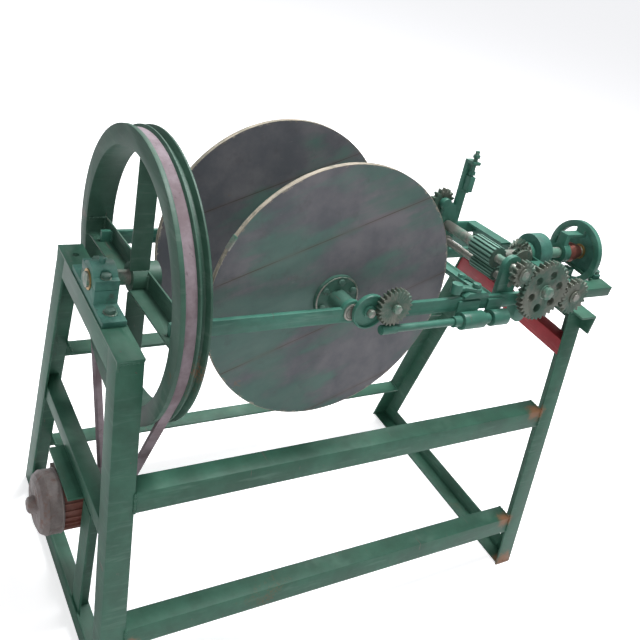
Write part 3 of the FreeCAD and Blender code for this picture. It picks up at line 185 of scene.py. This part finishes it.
def painted_iron(name, deep, fresh, dusty, rust=0.5, gloss=0.42, rusty_places=()):
    """Brushed green paint on mill iron: uneven coats, dust, scratches and rust that comes through."""
    f = Finish(name)
    coats = f.noise(9, 5, 0.65)
    brush = f.noise(26, 3, 0.7, f.stretched((0.35, 0.35, 2.6)))
    fine = f.noise(210, 3, 0.7)
    colour = f.mix(coats.between(0.3, 0.72), deep, fresh)
    colour = f.mix(brush.between(0.5, 0.8) * 0.45, colour, dusty)
    stain = f.noise(5.5, 6, 0.72).between(0.6, 0.74) * fine.between(0.42, 0.62)
    colour = f.mix(stain * rust, colour, (0.17, 0.075, 0.038))
    for place, reach in rusty_places:
        away = f.node("ShaderNodeVectorMath", [f.place, tuple(place)], output="Value", operation="DISTANCE")
        patch = (away / reach + f.noise(46, 6, 0.75) * 1.1).between(0.75, 1.25)
        colour = f.mix((1 - patch) * 0.85, colour, (0.235, 0.1, 0.045))
    scratch = f.noise(34, 2, 0.5, f.stretched((3.4, 0.25, 0.6), (0.4, 0.2, 0.9))).between(0.73, 0.76)
    chips = f.noise(75, 4, 0.62).between(0.71, 0.735)
    bare = scratch.math("MAXIMUM", chips)
    colour = f.mix(bare * 0.8, colour, (0.105, 0.1, 0.085))
    f.set(Base_Color=colour, Roughness=gloss + coats * 0.22 + stain * 0.3, Metallic=bare * 0.35)
    f.set(Specular_IOR_Level=0.42)
    f.bump(brush * 0.5 + coats * 0.6 + fine * 0.25 - bare * 0.7, 0.34, 0.0012)
    return f.material


def cast_iron_paint(name, deep, fresh):
    """Thick paint on rough sand castings."""
    f = Finish(name)
    grain = f.noise(150, 5, 0.7)
    patches = f.noise(22, 4, 0.6)
    colour = f.mix(patches.between(0.32, 0.7), deep, fresh)
    grime = f.noise(38, 5, 0.72).between(0.58, 0.72)
    colour = f.mix(grime * 0.65, colour, (0.05, 0.052, 0.042))
    f.set(Base_Color=colour, Roughness=0.4 + patches * 0.26, Specular_IOR_Level=0.45)
    f.bump(grain * 0.8 + patches, 0.5, 0.0016)
    return f.material


def roller_paint_and_crest_highlight(f, joint, radius):
    """1 on the ribbed length of a fluted roller, and how near its crests a point lies, for a painted highlight on
    the crests.
    """
    centre = Vector(JOINTS[joint]["pos_m"])
    side = f.along(CROSSWAYS, centre)
    level = f.along((1, 0, 0), centre)
    rise = f.along(UPWARDS, centre)
    out = (level * level + rise * rise).math("SQRT")
    length = side.between(-0.1406, -0.1398) * (1 - side.between(-0.0652, -0.0644))
    return length * (1 - out.between(radius + 0.0015, radius + 0.003)), out.between(radius - 0.0016, radius)


def worn_steel(name, steel, paint, painted=0.55, metal=0.8, rough=0.36, rollers=()):
    """Turned steel with oversprayed paint, oil and a little rust."""
    f = Finish(name)
    turned = f.noise(60, 3, 0.6, f.stretched((1, 0.3, 1)))
    cover = f.noise(17, 5, 0.68).between(0.62 - painted * 0.34, 0.72 - painted * 0.2)
    oil = f.noise(44, 5, 0.7).between(0.55, 0.7)
    colour = f.mix(cover, steel, paint)
    colour = f.mix(oil * 0.6, colour, (0.045, 0.036, 0.026))
    for joint, radius in rollers:
        zone, crest = roller_paint_and_crest_highlight(f, joint, radius)
        # Painted highlight: the fluted rollers' green paint is lighter on the crests, standing in for light on
        # the ribs.
        ribs = f.mix(crest, (0.024, 0.072, 0.052), (0.115, 0.235, 0.185))
        colour = f.mix(zone, colour, ribs)
        cover = cover.math("MAXIMUM", zone * 0.9)
    f.set(Base_Color=colour, Metallic=metal * (1 - cover), Roughness=rough + turned * 0.16 + cover * 0.14)
    f.bump(turned + f.noise(240, 3, 0.7) * 0.5 + cover * 0.4, 0.28, 0.0008)
    return f.material


def rope_board():
    """Reel boards: thin green paint rubbed over grey board, with a few seams and raw cut edges."""
    f = Finish("reel board")
    rise = math.radians(21)
    level = Vector((1, 0, 0))
    along = level * math.cos(rise) + UPWARDS * math.sin(rise)
    across = UPWARDS * math.cos(rise) - level * math.sin(rise)
    run = f.along(along, REEL_CENTRE)
    rows = f.along(across, REEL_CENTRE)
    side = f.along(CROSSWAYS, REEL_CENTRE)
    strokes = f.node("ShaderNodeCombineXYZ", [run * 2.0, rows * 8.5, side * 3])
    drag = f.noise(1.7, 5, 0.6, strokes)
    broad = f.noise(4.6, 3, 0.5)
    cloud = f.noise(9.5, 5, 0.6)
    greys = f.mix(cloud.between(0.3, 0.7), (0.088, 0.092, 0.104), (0.156, 0.149, 0.16))
    greens = f.mix(drag.between(0.3, 0.7), (0.04, 0.112, 0.084), (0.072, 0.172, 0.135))
    cover = (drag * 0.5 + broad * 0.55).between(0.49, 0.6)
    colour = f.mix(cover * 0.66, greys, greens)
    dull = f.noise(26, 6, 0.7).between(0.55, 0.72)
    colour = f.mix(dull * 0.3, colour, (0.07, 0.066, 0.068))
    dragged = f.node("ShaderNodeCombineXYZ", [run * 0.35, rows * 2.2, side])
    scuff = f.noise(58, 5, 0.7, dragged).between(0.67, 0.72)
    colour = f.mix(scuff * 0.3, colour, (0.23, 0.235, 0.23))
    rub = f.noise(16, 6, 0.74).between(0.655, 0.7)
    colour = f.mix(rub * 0.5, colour, (0.17, 0.115, 0.085))
    from_seam = (rows * 5.2 + 0.31).math("PINGPONG", 0.5)
    faded = f.noise(7.0, 3, 0.6).between(0.36, 0.6)
    seam = (1 - from_seam.between(0.002, 0.0075)) * faded
    beside = (1 - from_seam.between(0.0, 0.05)) * 0.25
    colour = f.mix(beside, colour, (0.105, 0.07, 0.058))
    colour = f.mix(seam * 0.75, colour, (0.06, 0.043, 0.034))
    level_run = f.along(level, REEL_CENTRE)
    up_run = f.along(UPWARDS, REEL_CENTRE)
    radius = (level_run * level_run + up_run * up_run).math("SQRT")
    edge = radius.between(0.2738, 0.2746)
    plies = f.noise(1.0, 3, 0.6, f.node("ShaderNodeCombineXYZ", [level_run * 16, side * 900, up_run * 16]))
    grime = f.noise(24, 5, 0.7).between(0.45, 0.62)
    raw = f.mix(plies.between(0.35, 0.65), (0.21, 0.175, 0.13), (0.46, 0.41, 0.335))
    raw = f.mix(grime * 0.55, raw, (0.11, 0.115, 0.09))
    chipped = f.noise(80, 4, 0.7).between(0.54, 0.6)
    ring = radius.between(0.2688, 0.2735) * chipped
    colour = f.mix(edge.math("MAXIMUM", ring * 0.75), colour, raw)
    f.set(Base_Color=colour, Roughness=0.5 + drag * 0.2 + edge * 0.15, Specular_IOR_Level=0.35)
    f.bump(drag * 0.4 + cloud * 0.5 - seam * 0.8 + edge * plies * 1.5, 0.3, 0.001)
    return f.material


def woven_belt():
    """A dusty canvas-backed belt."""
    f = Finish("drive belt canvas")
    weave = f.node("ShaderNodeTexWave", {"Vector": f.place, "Scale": 260.0, "Distortion": 1.5}, output="Fac")
    dust = f.noise(16, 5, 0.65)
    colour = f.mix(dust.between(0.3, 0.7), (0.15, 0.112, 0.122), (0.262, 0.215, 0.238))
    colour = f.mix(f.noise(70, 4, 0.7).between(0.6, 0.75) * 0.6, colour, (0.055, 0.042, 0.042))
    f.set(Base_Color=colour, Roughness=0.82, Specular_IOR_Level=0.25)
    f.bump(weave * 0.5 + dust, 0.4, 0.0007)
    return f.material


def motor_shell(name, base, worn, rust):
    """Old motor paint, rubbed and rust-stained."""
    f = Finish(name)
    patches = f.noise(28, 5, 0.68)
    colour = f.mix(patches.between(0.35, 0.7), base, worn)
    rusty = f.noise(48, 6, 0.74).between(0.52, 0.66)
    colour = f.mix(rusty * rust, colour, (0.16, 0.058, 0.03))
    bare = f.noise(110, 4, 0.7).between(0.66, 0.7)
    colour = f.mix(bare * 0.7, colour, (0.21, 0.19, 0.17))
    f.set(Base_Color=colour, Roughness=0.5 + rusty * 0.25, Metallic=bare * 0.45)
    f.bump(patches + rusty * 0.6 - bare * 0.5, 0.4, 0.0011)
    return f.material


GREEN_DEEP = (0.018, 0.074, 0.046)
GREEN = (0.034, 0.124, 0.08)
GREEN_DUST = (0.105, 0.205, 0.155)
ROLLERS = [("feed_roller_spin", 0.025), ("lower_roller_spin", 0.016)]
RUSTY_PLACES = [
    (frame_point(1098, -246, 486), 0.05), (frame_point(1100, -302, 158), 0.045),
    (frame_point(1140, -330, 10), 0.06), (frame_point(22, -338, 20), 0.06), (frame_point(64, -302, 120), 0.03),
]
FINISHES = {
    "frame_green": painted_iron("stand green", GREEN_DEEP, GREEN, GREEN_DUST, 0.75, 0.4, RUSTY_PLACES),
    "flyer_green": painted_iron(
        "flyer green", (0.026, 0.098, 0.07), (0.046, 0.165, 0.12), (0.14, 0.27, 0.215), 0.5, 0.28
    ),
    "wheel_green": painted_iron(
        "wheel green", (0.018, 0.058, 0.038), (0.036, 0.096, 0.066), (0.1, 0.15, 0.12), 0.8
    ),
    "red_paint": painted_iron(
        "tie rail red", (0.22, 0.017, 0.022), (0.36, 0.034, 0.043), (0.5, 0.17, 0.17), 0.2, 0.36
    ),
    "cast_green": cast_iron_paint("casting green", (0.024, 0.1, 0.075), (0.056, 0.185, 0.145)),
    "bolt_green": cast_iron_paint("bolt green", (0.04, 0.096, 0.074), (0.1, 0.185, 0.148)),
    "drum_tin": painted_iron(
        "reel hub green", (0.036, 0.096, 0.07), (0.058, 0.142, 0.108), (0.16, 0.23, 0.19), 0.7
    ),
    "worn_steel": worn_steel("shaft steel", (0.3, 0.29, 0.26), (0.08, 0.175, 0.128), 0.6, rollers=ROLLERS),
    "gear_steel": worn_steel("gear steel", (0.135, 0.145, 0.118), (0.044, 0.096, 0.068), 0.62, 0.55, 0.4),
    "rusty_polish": worn_steel(
        "feed throat steel", (0.24, 0.085, 0.066), (0.082, 0.028, 0.022), 0.42, 0.7, 0.3
    ),
    "bronze": worn_steel("bearing bronze", (0.42, 0.27, 0.11), (0.06, 0.05, 0.03), 0.3, 0.9, 0.34),
    "board": rope_board(),
    "belt_rubber": woven_belt(),
    "motor_grey": motor_shell("motor cowl", (0.122, 0.098, 0.092), (0.205, 0.175, 0.168), 0.4),
    "motor_red": motor_shell("motor body", (0.14, 0.038, 0.028), (0.2, 0.08, 0.06), 0.5),
    "pulley_iron": worn_steel("pulley iron", (0.14, 0.145, 0.14), (0.05, 0.075, 0.062), 0.5, 0.7, 0.4),
}
SLOT_OF = {part["node"]: part["material_slot"] for part in frame["record"]["subparts"]}


def dress(piece, slot):
    piece.data.materials.clear()
    piece.data.materials.append(FINISHES[slot])


for node_name, node_object in NODES.items():
    for holder in node_object.material_slots:
        holder.material = FINISHES[SLOT_OF[node_name]]


# Modelling helpers

SOFT_ANGLE = 32
TURN_STEPS = 20

def nothing_selected():
    if bpy.context.object and bpy.context.object.mode == "EDIT":
        bpy.ops.object.mode_set(mode="OBJECT")
    bpy.ops.object.select_all(action="DESELECT")


def only(piece):
    nothing_selected()
    piece.select_set(True)
    bpy.context.view_layer.objects.active = piece


def settled(piece, name, body, slot):
    """Puts the piece's place in its mesh, gives it a finish and lets it ride on a body."""
    only(piece)
    bpy.ops.object.transform_apply(location=True, rotation=True, scale=True)
    piece.name = name
    dress(piece, slot)
    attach(piece, body)
    return piece


def modified(piece, kind, **settings):
    only(piece)
    modifier = piece.modifiers.new(kind.lower(), kind)
    for key, value in settings.items():
        setattr(modifier, key, value)
    bpy.ops.object.modifier_apply(modifier=modifier.name)
    return piece


def eased(piece, width):
    """Rounds a small piece's hard edges."""
    limit = math.radians(SOFT_ANGLE)
    return modified(piece, "BEVEL", width=width, segments=2, limit_method="ANGLE", angle_limit=limit)


def joined(pieces):
    nothing_selected()
    for piece in pieces:
        piece.select_set(True)
    bpy.context.view_layer.objects.active = pieces[0]
    if len(pieces) > 1:
        bpy.ops.object.join()
    return bpy.context.view_layer.objects.active


def shaded(piece, degrees=35):
    only(piece)
    bpy.ops.object.shade_smooth_by_angle(angle=math.radians(degrees))
    return piece


def softened(node, width, segments=2, degrees=SOFT_ANGLE):
    """A copy of a node with its hard edges rounded over, in place of the node."""
    source = NODES[node]
    piece = source.copy()
    piece.data = source.data.copy()
    piece.parent = None
    for key in list(piece.keys()):
        del piece[key]
    bpy.context.scene.collection.objects.link(piece)
    only(piece)
    bpy.ops.object.mode_set(mode="EDIT")
    bpy.ops.mesh.select_all(action="SELECT")
    bpy.ops.mesh.remove_doubles(threshold=0.000005)
    bpy.ops.mesh.dissolve_limited(angle_limit=math.radians(1))
    bpy.ops.object.mode_set(mode="OBJECT")
    modified(
        piece, "BEVEL", width=width, segments=segments, limit_method="ANGLE",
        angle_limit=math.radians(degrees), use_clamp_overlap=True, harden_normals=False,
        miter_outer="MITER_ARC",
    )
    shaded(piece, 40)
    body = source["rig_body"]
    settled(piece, node + "_rounded", body, SLOT_OF[node])
    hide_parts(node)
    return piece


def turned_to(direction):
    """The turn that takes Z to a direction."""
    return Vector((0, 0, 1)).rotation_difference(Vector(direction).normalized())


def rod(start, end, radius, sides=24, bevel=0.0006):
    """A turned bar with eased ends."""
    middle = (start + end) / 2
    nothing_selected()
    length = (end - start).length
    bpy.ops.mesh.primitive_cylinder_add(vertices=sides, radius=radius, depth=length, location=middle)
    piece = bpy.context.object
    piece.rotation_mode = "QUATERNION"
    piece.rotation_quaternion = turned_to(end - start)
    bpy.ops.object.mode_set(mode="EDIT")
    bpy.ops.mesh.select_all(action="DESELECT")
    grid = bmesh.from_edit_mesh(piece.data)
    for edge in grid.edges:
        edge.select = len(edge.link_faces) == 2 and any(len(face.verts) > 4 for face in edge.link_faces)
    bmesh.update_edit_mesh(piece.data)
    bpy.ops.mesh.bevel(offset=bevel, segments=2, affect="EDGES")
    bpy.ops.object.mode_set(mode="OBJECT")
    return piece


def ripples(start, end, size):
    """A rippled weld run between two points, as one mesh."""
    count = max(3, int((end - start).length / (size * 0.95)))
    nothing_selected()
    bpy.ops.mesh.primitive_uv_sphere_add(segments=10, ring_count=6, radius=size, location=start)
    first = bpy.context.object
    drops = [first]
    for k in range(1, count + 1):
        drop = first.copy()
        drop.data = first.data.copy()
        bpy.context.scene.collection.objects.link(drop)
        drop.location = start.lerp(end, k / count)
        swell = 1 + 0.16 * math.sin(k * 2.4)
        drop.scale = (swell, swell, swell * 0.95)
        drops.append(drop)
    return joined(drops)


def welds(runs, name, body="frame", slot="frame_green", size=0.0034):
    bead = shaded(joined([ripples(start, end, size) for start, end in runs]), 60)
    return settled(bead, name, body, slot)


def ring(centre, axis, outer, inner, thick):
    """A washer with rounded edges."""
    nothing_selected()
    bpy.ops.mesh.primitive_torus_add(
        major_radius=(outer + inner) / 2, minor_radius=(outer - inner) / 2,
        major_segments=36, minor_segments=10, location=centre,
    )
    piece = bpy.context.object
    piece.scale = (1, 1, thick / (outer - inner))
    piece.rotation_mode = "QUATERNION"
    piece.rotation_quaternion = turned_to(axis)
    return piece


def rings(places, axis, outer, inner, thick, name, body, slot):
    pieces = [ring(place, axis, outer, inner, thick) for place in places]
    return settled(shaded(joined(pieces), 50), name, body, slot)


def helix(start, end, radius, crest, pitch, name, body, slot, sides=6):
    """A screw thread wound round the line from start to end."""
    turns = max(1, int((end - start).length / pitch))
    nothing_selected()
    bpy.ops.mesh.primitive_circle_add(vertices=sides, radius=crest, location=(0, 0, 0))
    piece = bpy.context.object
    bpy.ops.object.mode_set(mode="EDIT")
    bpy.ops.mesh.select_all(action="SELECT")
    bpy.ops.transform.rotate(value=math.pi / 2, orient_axis="X", center_override=(0, 0, 0))
    bpy.ops.transform.translate(value=(radius, 0, 0))
    bpy.ops.object.mode_set(mode="OBJECT")
    modified(
        piece, "SCREW", axis="Z", angle=math.tau, screw_offset=pitch, iterations=turns,
        steps=TURN_STEPS, render_steps=TURN_STEPS, use_smooth_shade=True,
    )
    only(piece)
    bpy.ops.object.mode_set(mode="EDIT")
    bpy.ops.mesh.select_all(action="SELECT")
    bpy.ops.mesh.fill_holes(sides=0)
    bpy.ops.mesh.select_all(action="SELECT")
    bpy.ops.mesh.normals_make_consistent(inside=False)
    bpy.ops.object.mode_set(mode="OBJECT")
    piece.location = start
    piece.rotation_mode = "QUATERNION"
    piece.rotation_quaternion = turned_to(end - start)
    return settled(shaded(piece, 50), name, body, slot)


def hex_head(centre, axis, across, height):
    """A bolt head with a chamfered crown, its foot on centre."""
    direction = Vector(axis).normalized()
    nothing_selected()
    radius = across / 2 / math.cos(math.pi / 6)
    middle = centre + direction * (height / 2)
    bpy.ops.mesh.primitive_cylinder_add(vertices=6, radius=radius, depth=height, location=middle)
    piece = bpy.context.object
    piece.rotation_mode = "QUATERNION"
    piece.rotation_quaternion = turned_to(direction)
    return eased(piece, 0.0007)


def heads(places, axis, across, height, name, body, slot):
    pieces = [hex_head(place, axis, across, height) for place in places]
    return settled(shaded(joined(pieces), 40), name, body, slot)


# Rounded castings, bars and rails in place of the plain nodes

ROUNDED = {
    "plummer_base": 0.0022, "plummer_cap": 0.0022, "arch_pedestal": 0.0026, "outer_pedestal": 0.0024,
    "left_top_rail": 0.0009, "right_top_rail": 0.0009, "legs": 0.0009, "side_rails": 0.0009, "foot_rails": 0.0009,
    "left_middle_rail": 0.0009, "red_tie_rail": 0.0009, "flyer_near_bar": 0.0012, "flyer_far_bar": 0.0012,
    "guide_block": 0.0012, "guide_arm": 0.0015, "feed_ring": 0.0014, "belt_wheel_spokes": 0.0008,
    "holed_gear": 0.0006, "driver_gear": 0.0006, "roller_pinion": 0.0006, "roller_far_gear": 0.0006,
    "feed_gear": 0.0006, "take_up_gear": 0.0005, "roller_stand": 0.0012, "outrigger": 0.0009,
    "upper_roller": 0.0008, "lower_roller": 0.0008, "lay_shaft_hangers": 0.0018, "motor_stator": 0.0006,
    "pressure_screw": 0.0006, "frame_bolts": 0.0007, "reel_bolts": 0.0005, "gear_studs": 0.0007,
    "motor_terminal_box": 0.0015, "belt_wheel_rim": 0.0008,
}
for node_name, width in ROUNDED.items():
    softened(node_name, width)


# Details that the plain nodes leave out

LEG_FOOT_OUT = 330.0
LEG_TOP_OUT = 194.0
STAND_HEIGHT = 765.0
RAIL_TOPS = (486, 157)
RAIL_DEPTH = 41
LEG_INNER_ENDS = (50.5, 1114.5)


def leg_front(z):
    """How far out the near leg's front stands at a height, in millimetres."""
    return LEG_FOOT_OUT + (LEG_TOP_OUT - LEG_FOOT_OUT) * z / STAND_HEIGHT


def stand_welds():
    for side, label in ((-1, "near"), (1, "far")):
        runs = []
        for top in RAIL_TOPS:
            for x in LEG_INNER_ENDS:
                low = top - RAIL_DEPTH
                start = frame_point(x, side * leg_front(top), top)
                runs.append((start, frame_point(x, side * leg_front(low), low)))
                inner = leg_front(top) - 6
                start = frame_point(x, side * inner, top + 1)
                runs.append((start, frame_point(x, side * (inner - 36), top + 1)))
        welds(runs, label + "_rail_welds")
        corner = []
        for x0, x1 in ((3, 47), (1118, 1162)):
            corner.append((frame_point(x0, side * 195.0, 758), frame_point(x1, side * 195.0, 758)))
            corner.append((frame_point(x0, side * 325.8, 7), frame_point(x1, side * 325.8, 7)))
        welds(corner, label + "_leg_welds")
        arm = [
            (frame_point(1166, side * 83, 763.5), frame_point(1166, side * 117, 763.5)),
            (frame_point(1166, side * 80.5, 742), frame_point(1166, side * 80.5, 762)),
            (frame_point(1166, side * 119.5, 742), frame_point(1166, side * 119.5, 762)),
        ]
        welds(arm, label + "_outrigger_welds", size=0.003)
    left = [(frame_point(6, side * 246, 352), frame_point(6, side * 246, 382)) for side in (-1, 1)]
    welds(left, "motor_rail_welds", size=0.003)


def wheel_welds():
    rim = []
    hub = []
    for k in range(4):
        angle = math.radians(90 * k)
        out = CROSSWAYS * math.sin(angle) + UPWARDS * math.cos(angle)
        across = CROSSWAYS * math.cos(angle) - UPWARDS * math.sin(angle)
        for r, runs in ((0.2405, rim), (0.0285, hub)):
            middle = flyer_point(106, 0, 0) + out * r
            span = 0.017 if r > 0.1 else 0.012
            runs.append((middle - across * span, middle + across * span))
            front = flyer_point(74, 0, 0) + out * r
            if r > 0.1:
                edge = across * (0.017 if k in (0, 3) else -0.017)
                runs.append((front + edge, flyer_point(104, 0, 0) + out * r + edge))
    welds(rim, "spoke_rim_welds", "flyer", "wheel_green", 0.0028)
    welds(hub, "spoke_hub_welds", "flyer", "wheel_green", 0.0028)
    bars = []
    for side in (-1, 1):
        for x in (106, 1104):
            bars.append((flyer_point(x, side * 189.5, -19), flyer_point(x, side * 189.5, 6)))
    for side, x in ((-1, 975), (1, 987)):
        bars.append((flyer_point(x, side * 189.5, -20), flyer_point(x, side * 189.5, 6)))
    welds(bars, "flyer_bar_welds", "flyer", "flyer_green", 0.0028)


def bolt_washers():
    for name, x, y, z, outer, inner, thick in (
        ("plummer_washers", 25, 70, 777.6, 0.0135, 0.0085, 0.0024),
        ("cap_washers", 25, 29, 825.6, 0.0105, 0.0075, 0.0018),
        ("pedestal_washers", 1138.5, 64, 777.6, 0.0135, 0.0085, 0.0024),
        ("outer_washers", 1326, 66, 777.4, 0.0105, 0.0075, 0.0022),
    ):
        places = [frame_point(x, side * y, z) for side in (-1, 1)]
        rings(places, (0, 0, 1), outer, inner, thick, name, "frame", "worn_steel")
    shaft_end = [flyer_point(454, -201.6, 0)]
    rings(shaft_end, CROSSWAYS, 0.017, 0.0125, 0.0022, "reel_shaft_ring", "flyer", "worn_steel")


def screw_threads():
    low = flyer_point(887, 35, 214)
    high = flyer_point(887, 35, 251)
    helix(low, high, 0.0046, 0.00062, 0.0018, "pressure_thread", "pressure_screw", "worn_steel", 5)
    left = flyer_point(521, -222, -34)
    right = flyer_point(551, -222, -34)
    helix(left, right, 0.0088, 0.0014, 0.0046, "lay_worm_thread", "lay_shaft", "gear_steel")


def gear_hubs():
    """Bosses and keys on the gears' outer faces, and a washer on the holed gear."""
    places = {
        "driver": ("cross_shaft_spin", "cross_shaft"),
        "pinion": ("feed_roller_spin", "feed_roller"),
    }
    for name, (joint, body) in places.items():
        centre = Vector(JOINTS[joint]["pos_m"])
        outer = centre - CROSSWAYS * 0.2315
        boss = rod(outer, centre - CROSSWAYS * 0.2275, 0.0165, 32, 0.0008)
        settled(shaded(boss), name + "_boss", body, "gear_steel")
        above = outer + UPWARDS * 0.0105
        key = rod(above - CROSSWAYS * 0.0006, above + CROSSWAYS * 0.003, 0.0022, 12, 0.0003)
        settled(shaded(key), name + "_key", body, "worn_steel")
    holed = Vector(JOINTS["holed_gear_spin"]["pos_m"])
    place = [holed - CROSSWAYS * 0.2286]
    rings(place, CROSSWAYS, 0.0175, 0.0125, 0.0022, "holed_gear_washer", "holed_gear", "worn_steel")


def motor_details():
    """The rear cowl's rounded ribs, its rim band and its screws."""
    centre = MOTOR_CENTRE
    left = FRAME_START - 0.070
    ribs = []
    for k in range(8):
        angle = math.tau * k / 8 + 0.2
        out = Vector((0, math.cos(angle), math.sin(angle)))
        start = Vector((left + 0.0015, centre.y, centre.z)) + out * 0.022
        end = Vector((left + 0.0025, centre.y, centre.z)) + out * 0.05
        ribs.append(rod(start, end, 0.0026, 10, 0.0008))
    settled(shaded(joined(ribs)), "cowl_ribs", "frame", "motor_grey")
    axis = (1, 0, 0)
    band = [Vector((FRAME_START - 0.0265, centre.y, centre.z)), Vector((left + 0.0165, centre.y, centre.z))]
    pieces = [ring(place, axis, 0.0700, 0.0672, 0.004) for place in band]
    settled(shaded(joined(pieces)), "cowl_bands", "frame", "motor_grey")
    screws = []
    for k in range(4):
        angle = math.tau * (k + 0.5) / 4
        out = Vector((0, math.cos(angle), math.sin(angle)))
        screws.append(Vector((FRAME_START + 0.0425, centre.y, centre.z)) + out * 0.056)
    heads(screws, (1, 0, 0), 0.010, 0.005, "shield_screws", "frame", "bolt_green")


def reel_details():
    """A clip on the near disc's edge and a ring beside the hub."""
    nothing_selected()
    angle = math.radians(153)
    out = Vector((1, 0, 0)) * math.cos(angle) + UPWARDS * math.sin(angle)
    middle = REEL_CENTRE - CROSSWAYS * 0.1312 + out * 0.2735
    bpy.ops.mesh.primitive_cube_add(size=1, location=middle)
    clip = bpy.context.object
    clip.scale = (0.004, 0.0135, 0.03)
    clip.rotation_mode = "QUATERNION"
    clip.rotation_quaternion = Matrix((out, CROSSWAYS, out.cross(CROSSWAYS))).transposed().to_quaternion()
    bpy.ops.object.transform_apply(location=False, rotation=False, scale=True)
    eased(clip, 0.0008)
    settled(clip, "disc_edge_clip", "reel", "worn_steel")
    place = [REEL_CENTRE - CROSSWAYS * 0.1452]
    rings(place, CROSSWAYS, 0.049, 0.0455, 0.0018, "hub_rim_near", "reel", "worn_steel")


stand_welds()
wheel_welds()
bolt_washers()
screw_threads()
gear_hubs()
motor_details()
reel_details()


# Floor, light and camera

def studio():
    nothing_selected()
    bpy.ops.mesh.primitive_plane_add(size=60, location=(0, 0, -0.0005))
    floor = bpy.context.object
    floor.name = "studio_floor"
    f = Finish("pale floor")
    f.set(Base_Color=(0.86, 0.85, 0.86, 1), Roughness=0.9, Specular_IOR_Level=0.1)
    glow = f.node("ShaderNodeEmission", {"Color": (1, 0.995, 1, 1), "Strength": 0.55})
    mixed = f.node("ShaderNodeAddShader", [Value(f, f.shader.outputs[0]), glow])
    out = f.tree.nodes["Material Output"]
    camera_ray = f.node("ShaderNodeLightPath", output="Is Camera Ray")
    plain = f.node("ShaderNodeMixShader", {0: camera_ray, 1: Value(f, f.shader.outputs[0]), 2: mixed})
    f.tree.links.new(plain.socket, out.inputs["Surface"])
    floor.data.materials.append(f.material)

    world = bpy.data.worlds.new("studio sky")
    bpy.context.scene.world = world
    world.use_nodes = True
    tree = world.node_tree
    tree.nodes.clear()
    path = tree.nodes.new("ShaderNodeLightPath")
    seen = tree.nodes.new("ShaderNodeBackground")
    seen.inputs[0].default_value = (1, 1, 1, 1)
    seen.inputs[1].default_value = 1.0
    sky = tree.nodes.new("ShaderNodeBackground")
    sky.inputs[0].default_value = (0.93, 0.96, 1.0, 1)
    sky.inputs[1].default_value = 0.42
    mix = tree.nodes.new("ShaderNodeMixShader")
    out = tree.nodes.new("ShaderNodeOutputWorld")
    tree.links.new(path.outputs["Is Camera Ray"], mix.inputs[0])
    tree.links.new(sky.outputs[0], mix.inputs[1])
    tree.links.new(seen.outputs[0], mix.inputs[2])
    tree.links.new(mix.outputs[0], out.inputs[0])

    for name, place, energy, size, tint in (
        ("key_light", (0.8, 0.2, 4.6), 265, 1.6, (0.97, 0.99, 1.0)),
        ("fill_light", (-2.6, -3.4, 2.6), 44, 2.6, (1.0, 0.98, 0.95)),
        ("back_light", (1.6, 3.2, 3.2), 62, 2.0, (1.0, 0.99, 0.97)),
    ):
        light = bpy.data.lights.new(name, "AREA")
        light.energy = energy
        light.size = size
        light.color = tint
        lamp = bpy.data.objects.new(name, light)
        bpy.context.scene.collection.objects.link(lamp)
        lamp.location = place
        aim = Vector((0, 0, 0.6)) - Vector(place)
        lamp.rotation_euler = aim.to_track_quat("-Z", "Y").to_euler()


def photo_camera():
    """The camera as the photograph's lines place it."""
    yaw, pitch, roll = math.radians(37.6), math.radians(31.0), math.radians(-16.0)
    ahead = Vector((math.sin(yaw) * math.cos(pitch), math.cos(yaw) * math.cos(pitch), -math.sin(pitch)))
    right = Vector((math.cos(yaw), -math.sin(yaw), 0))
    down = ahead.cross(right)
    right_turned = right * math.cos(roll) + down * math.sin(roll)
    down_turned = down * math.cos(roll) - right * math.sin(roll)
    lens = bpy.data.cameras.new("photo_camera")
    camera = bpy.data.objects.new("photo_camera", lens)
    bpy.context.scene.collection.objects.link(camera)
    turn = Matrix((right_turned, -down_turned, -ahead)).transposed().to_4x4()
    camera.matrix_world = Matrix.Translation(frame_point(-403.9, -1224.0, 1589.6)) @ turn
    lens.sensor_width = 36
    lens.lens = 798.0 / 640 * 36
    lens.clip_end = 100
    bpy.context.scene.camera = camera


studio()
photo_camera()
bpy.context.scene.view_settings.view_transform = "Standard"
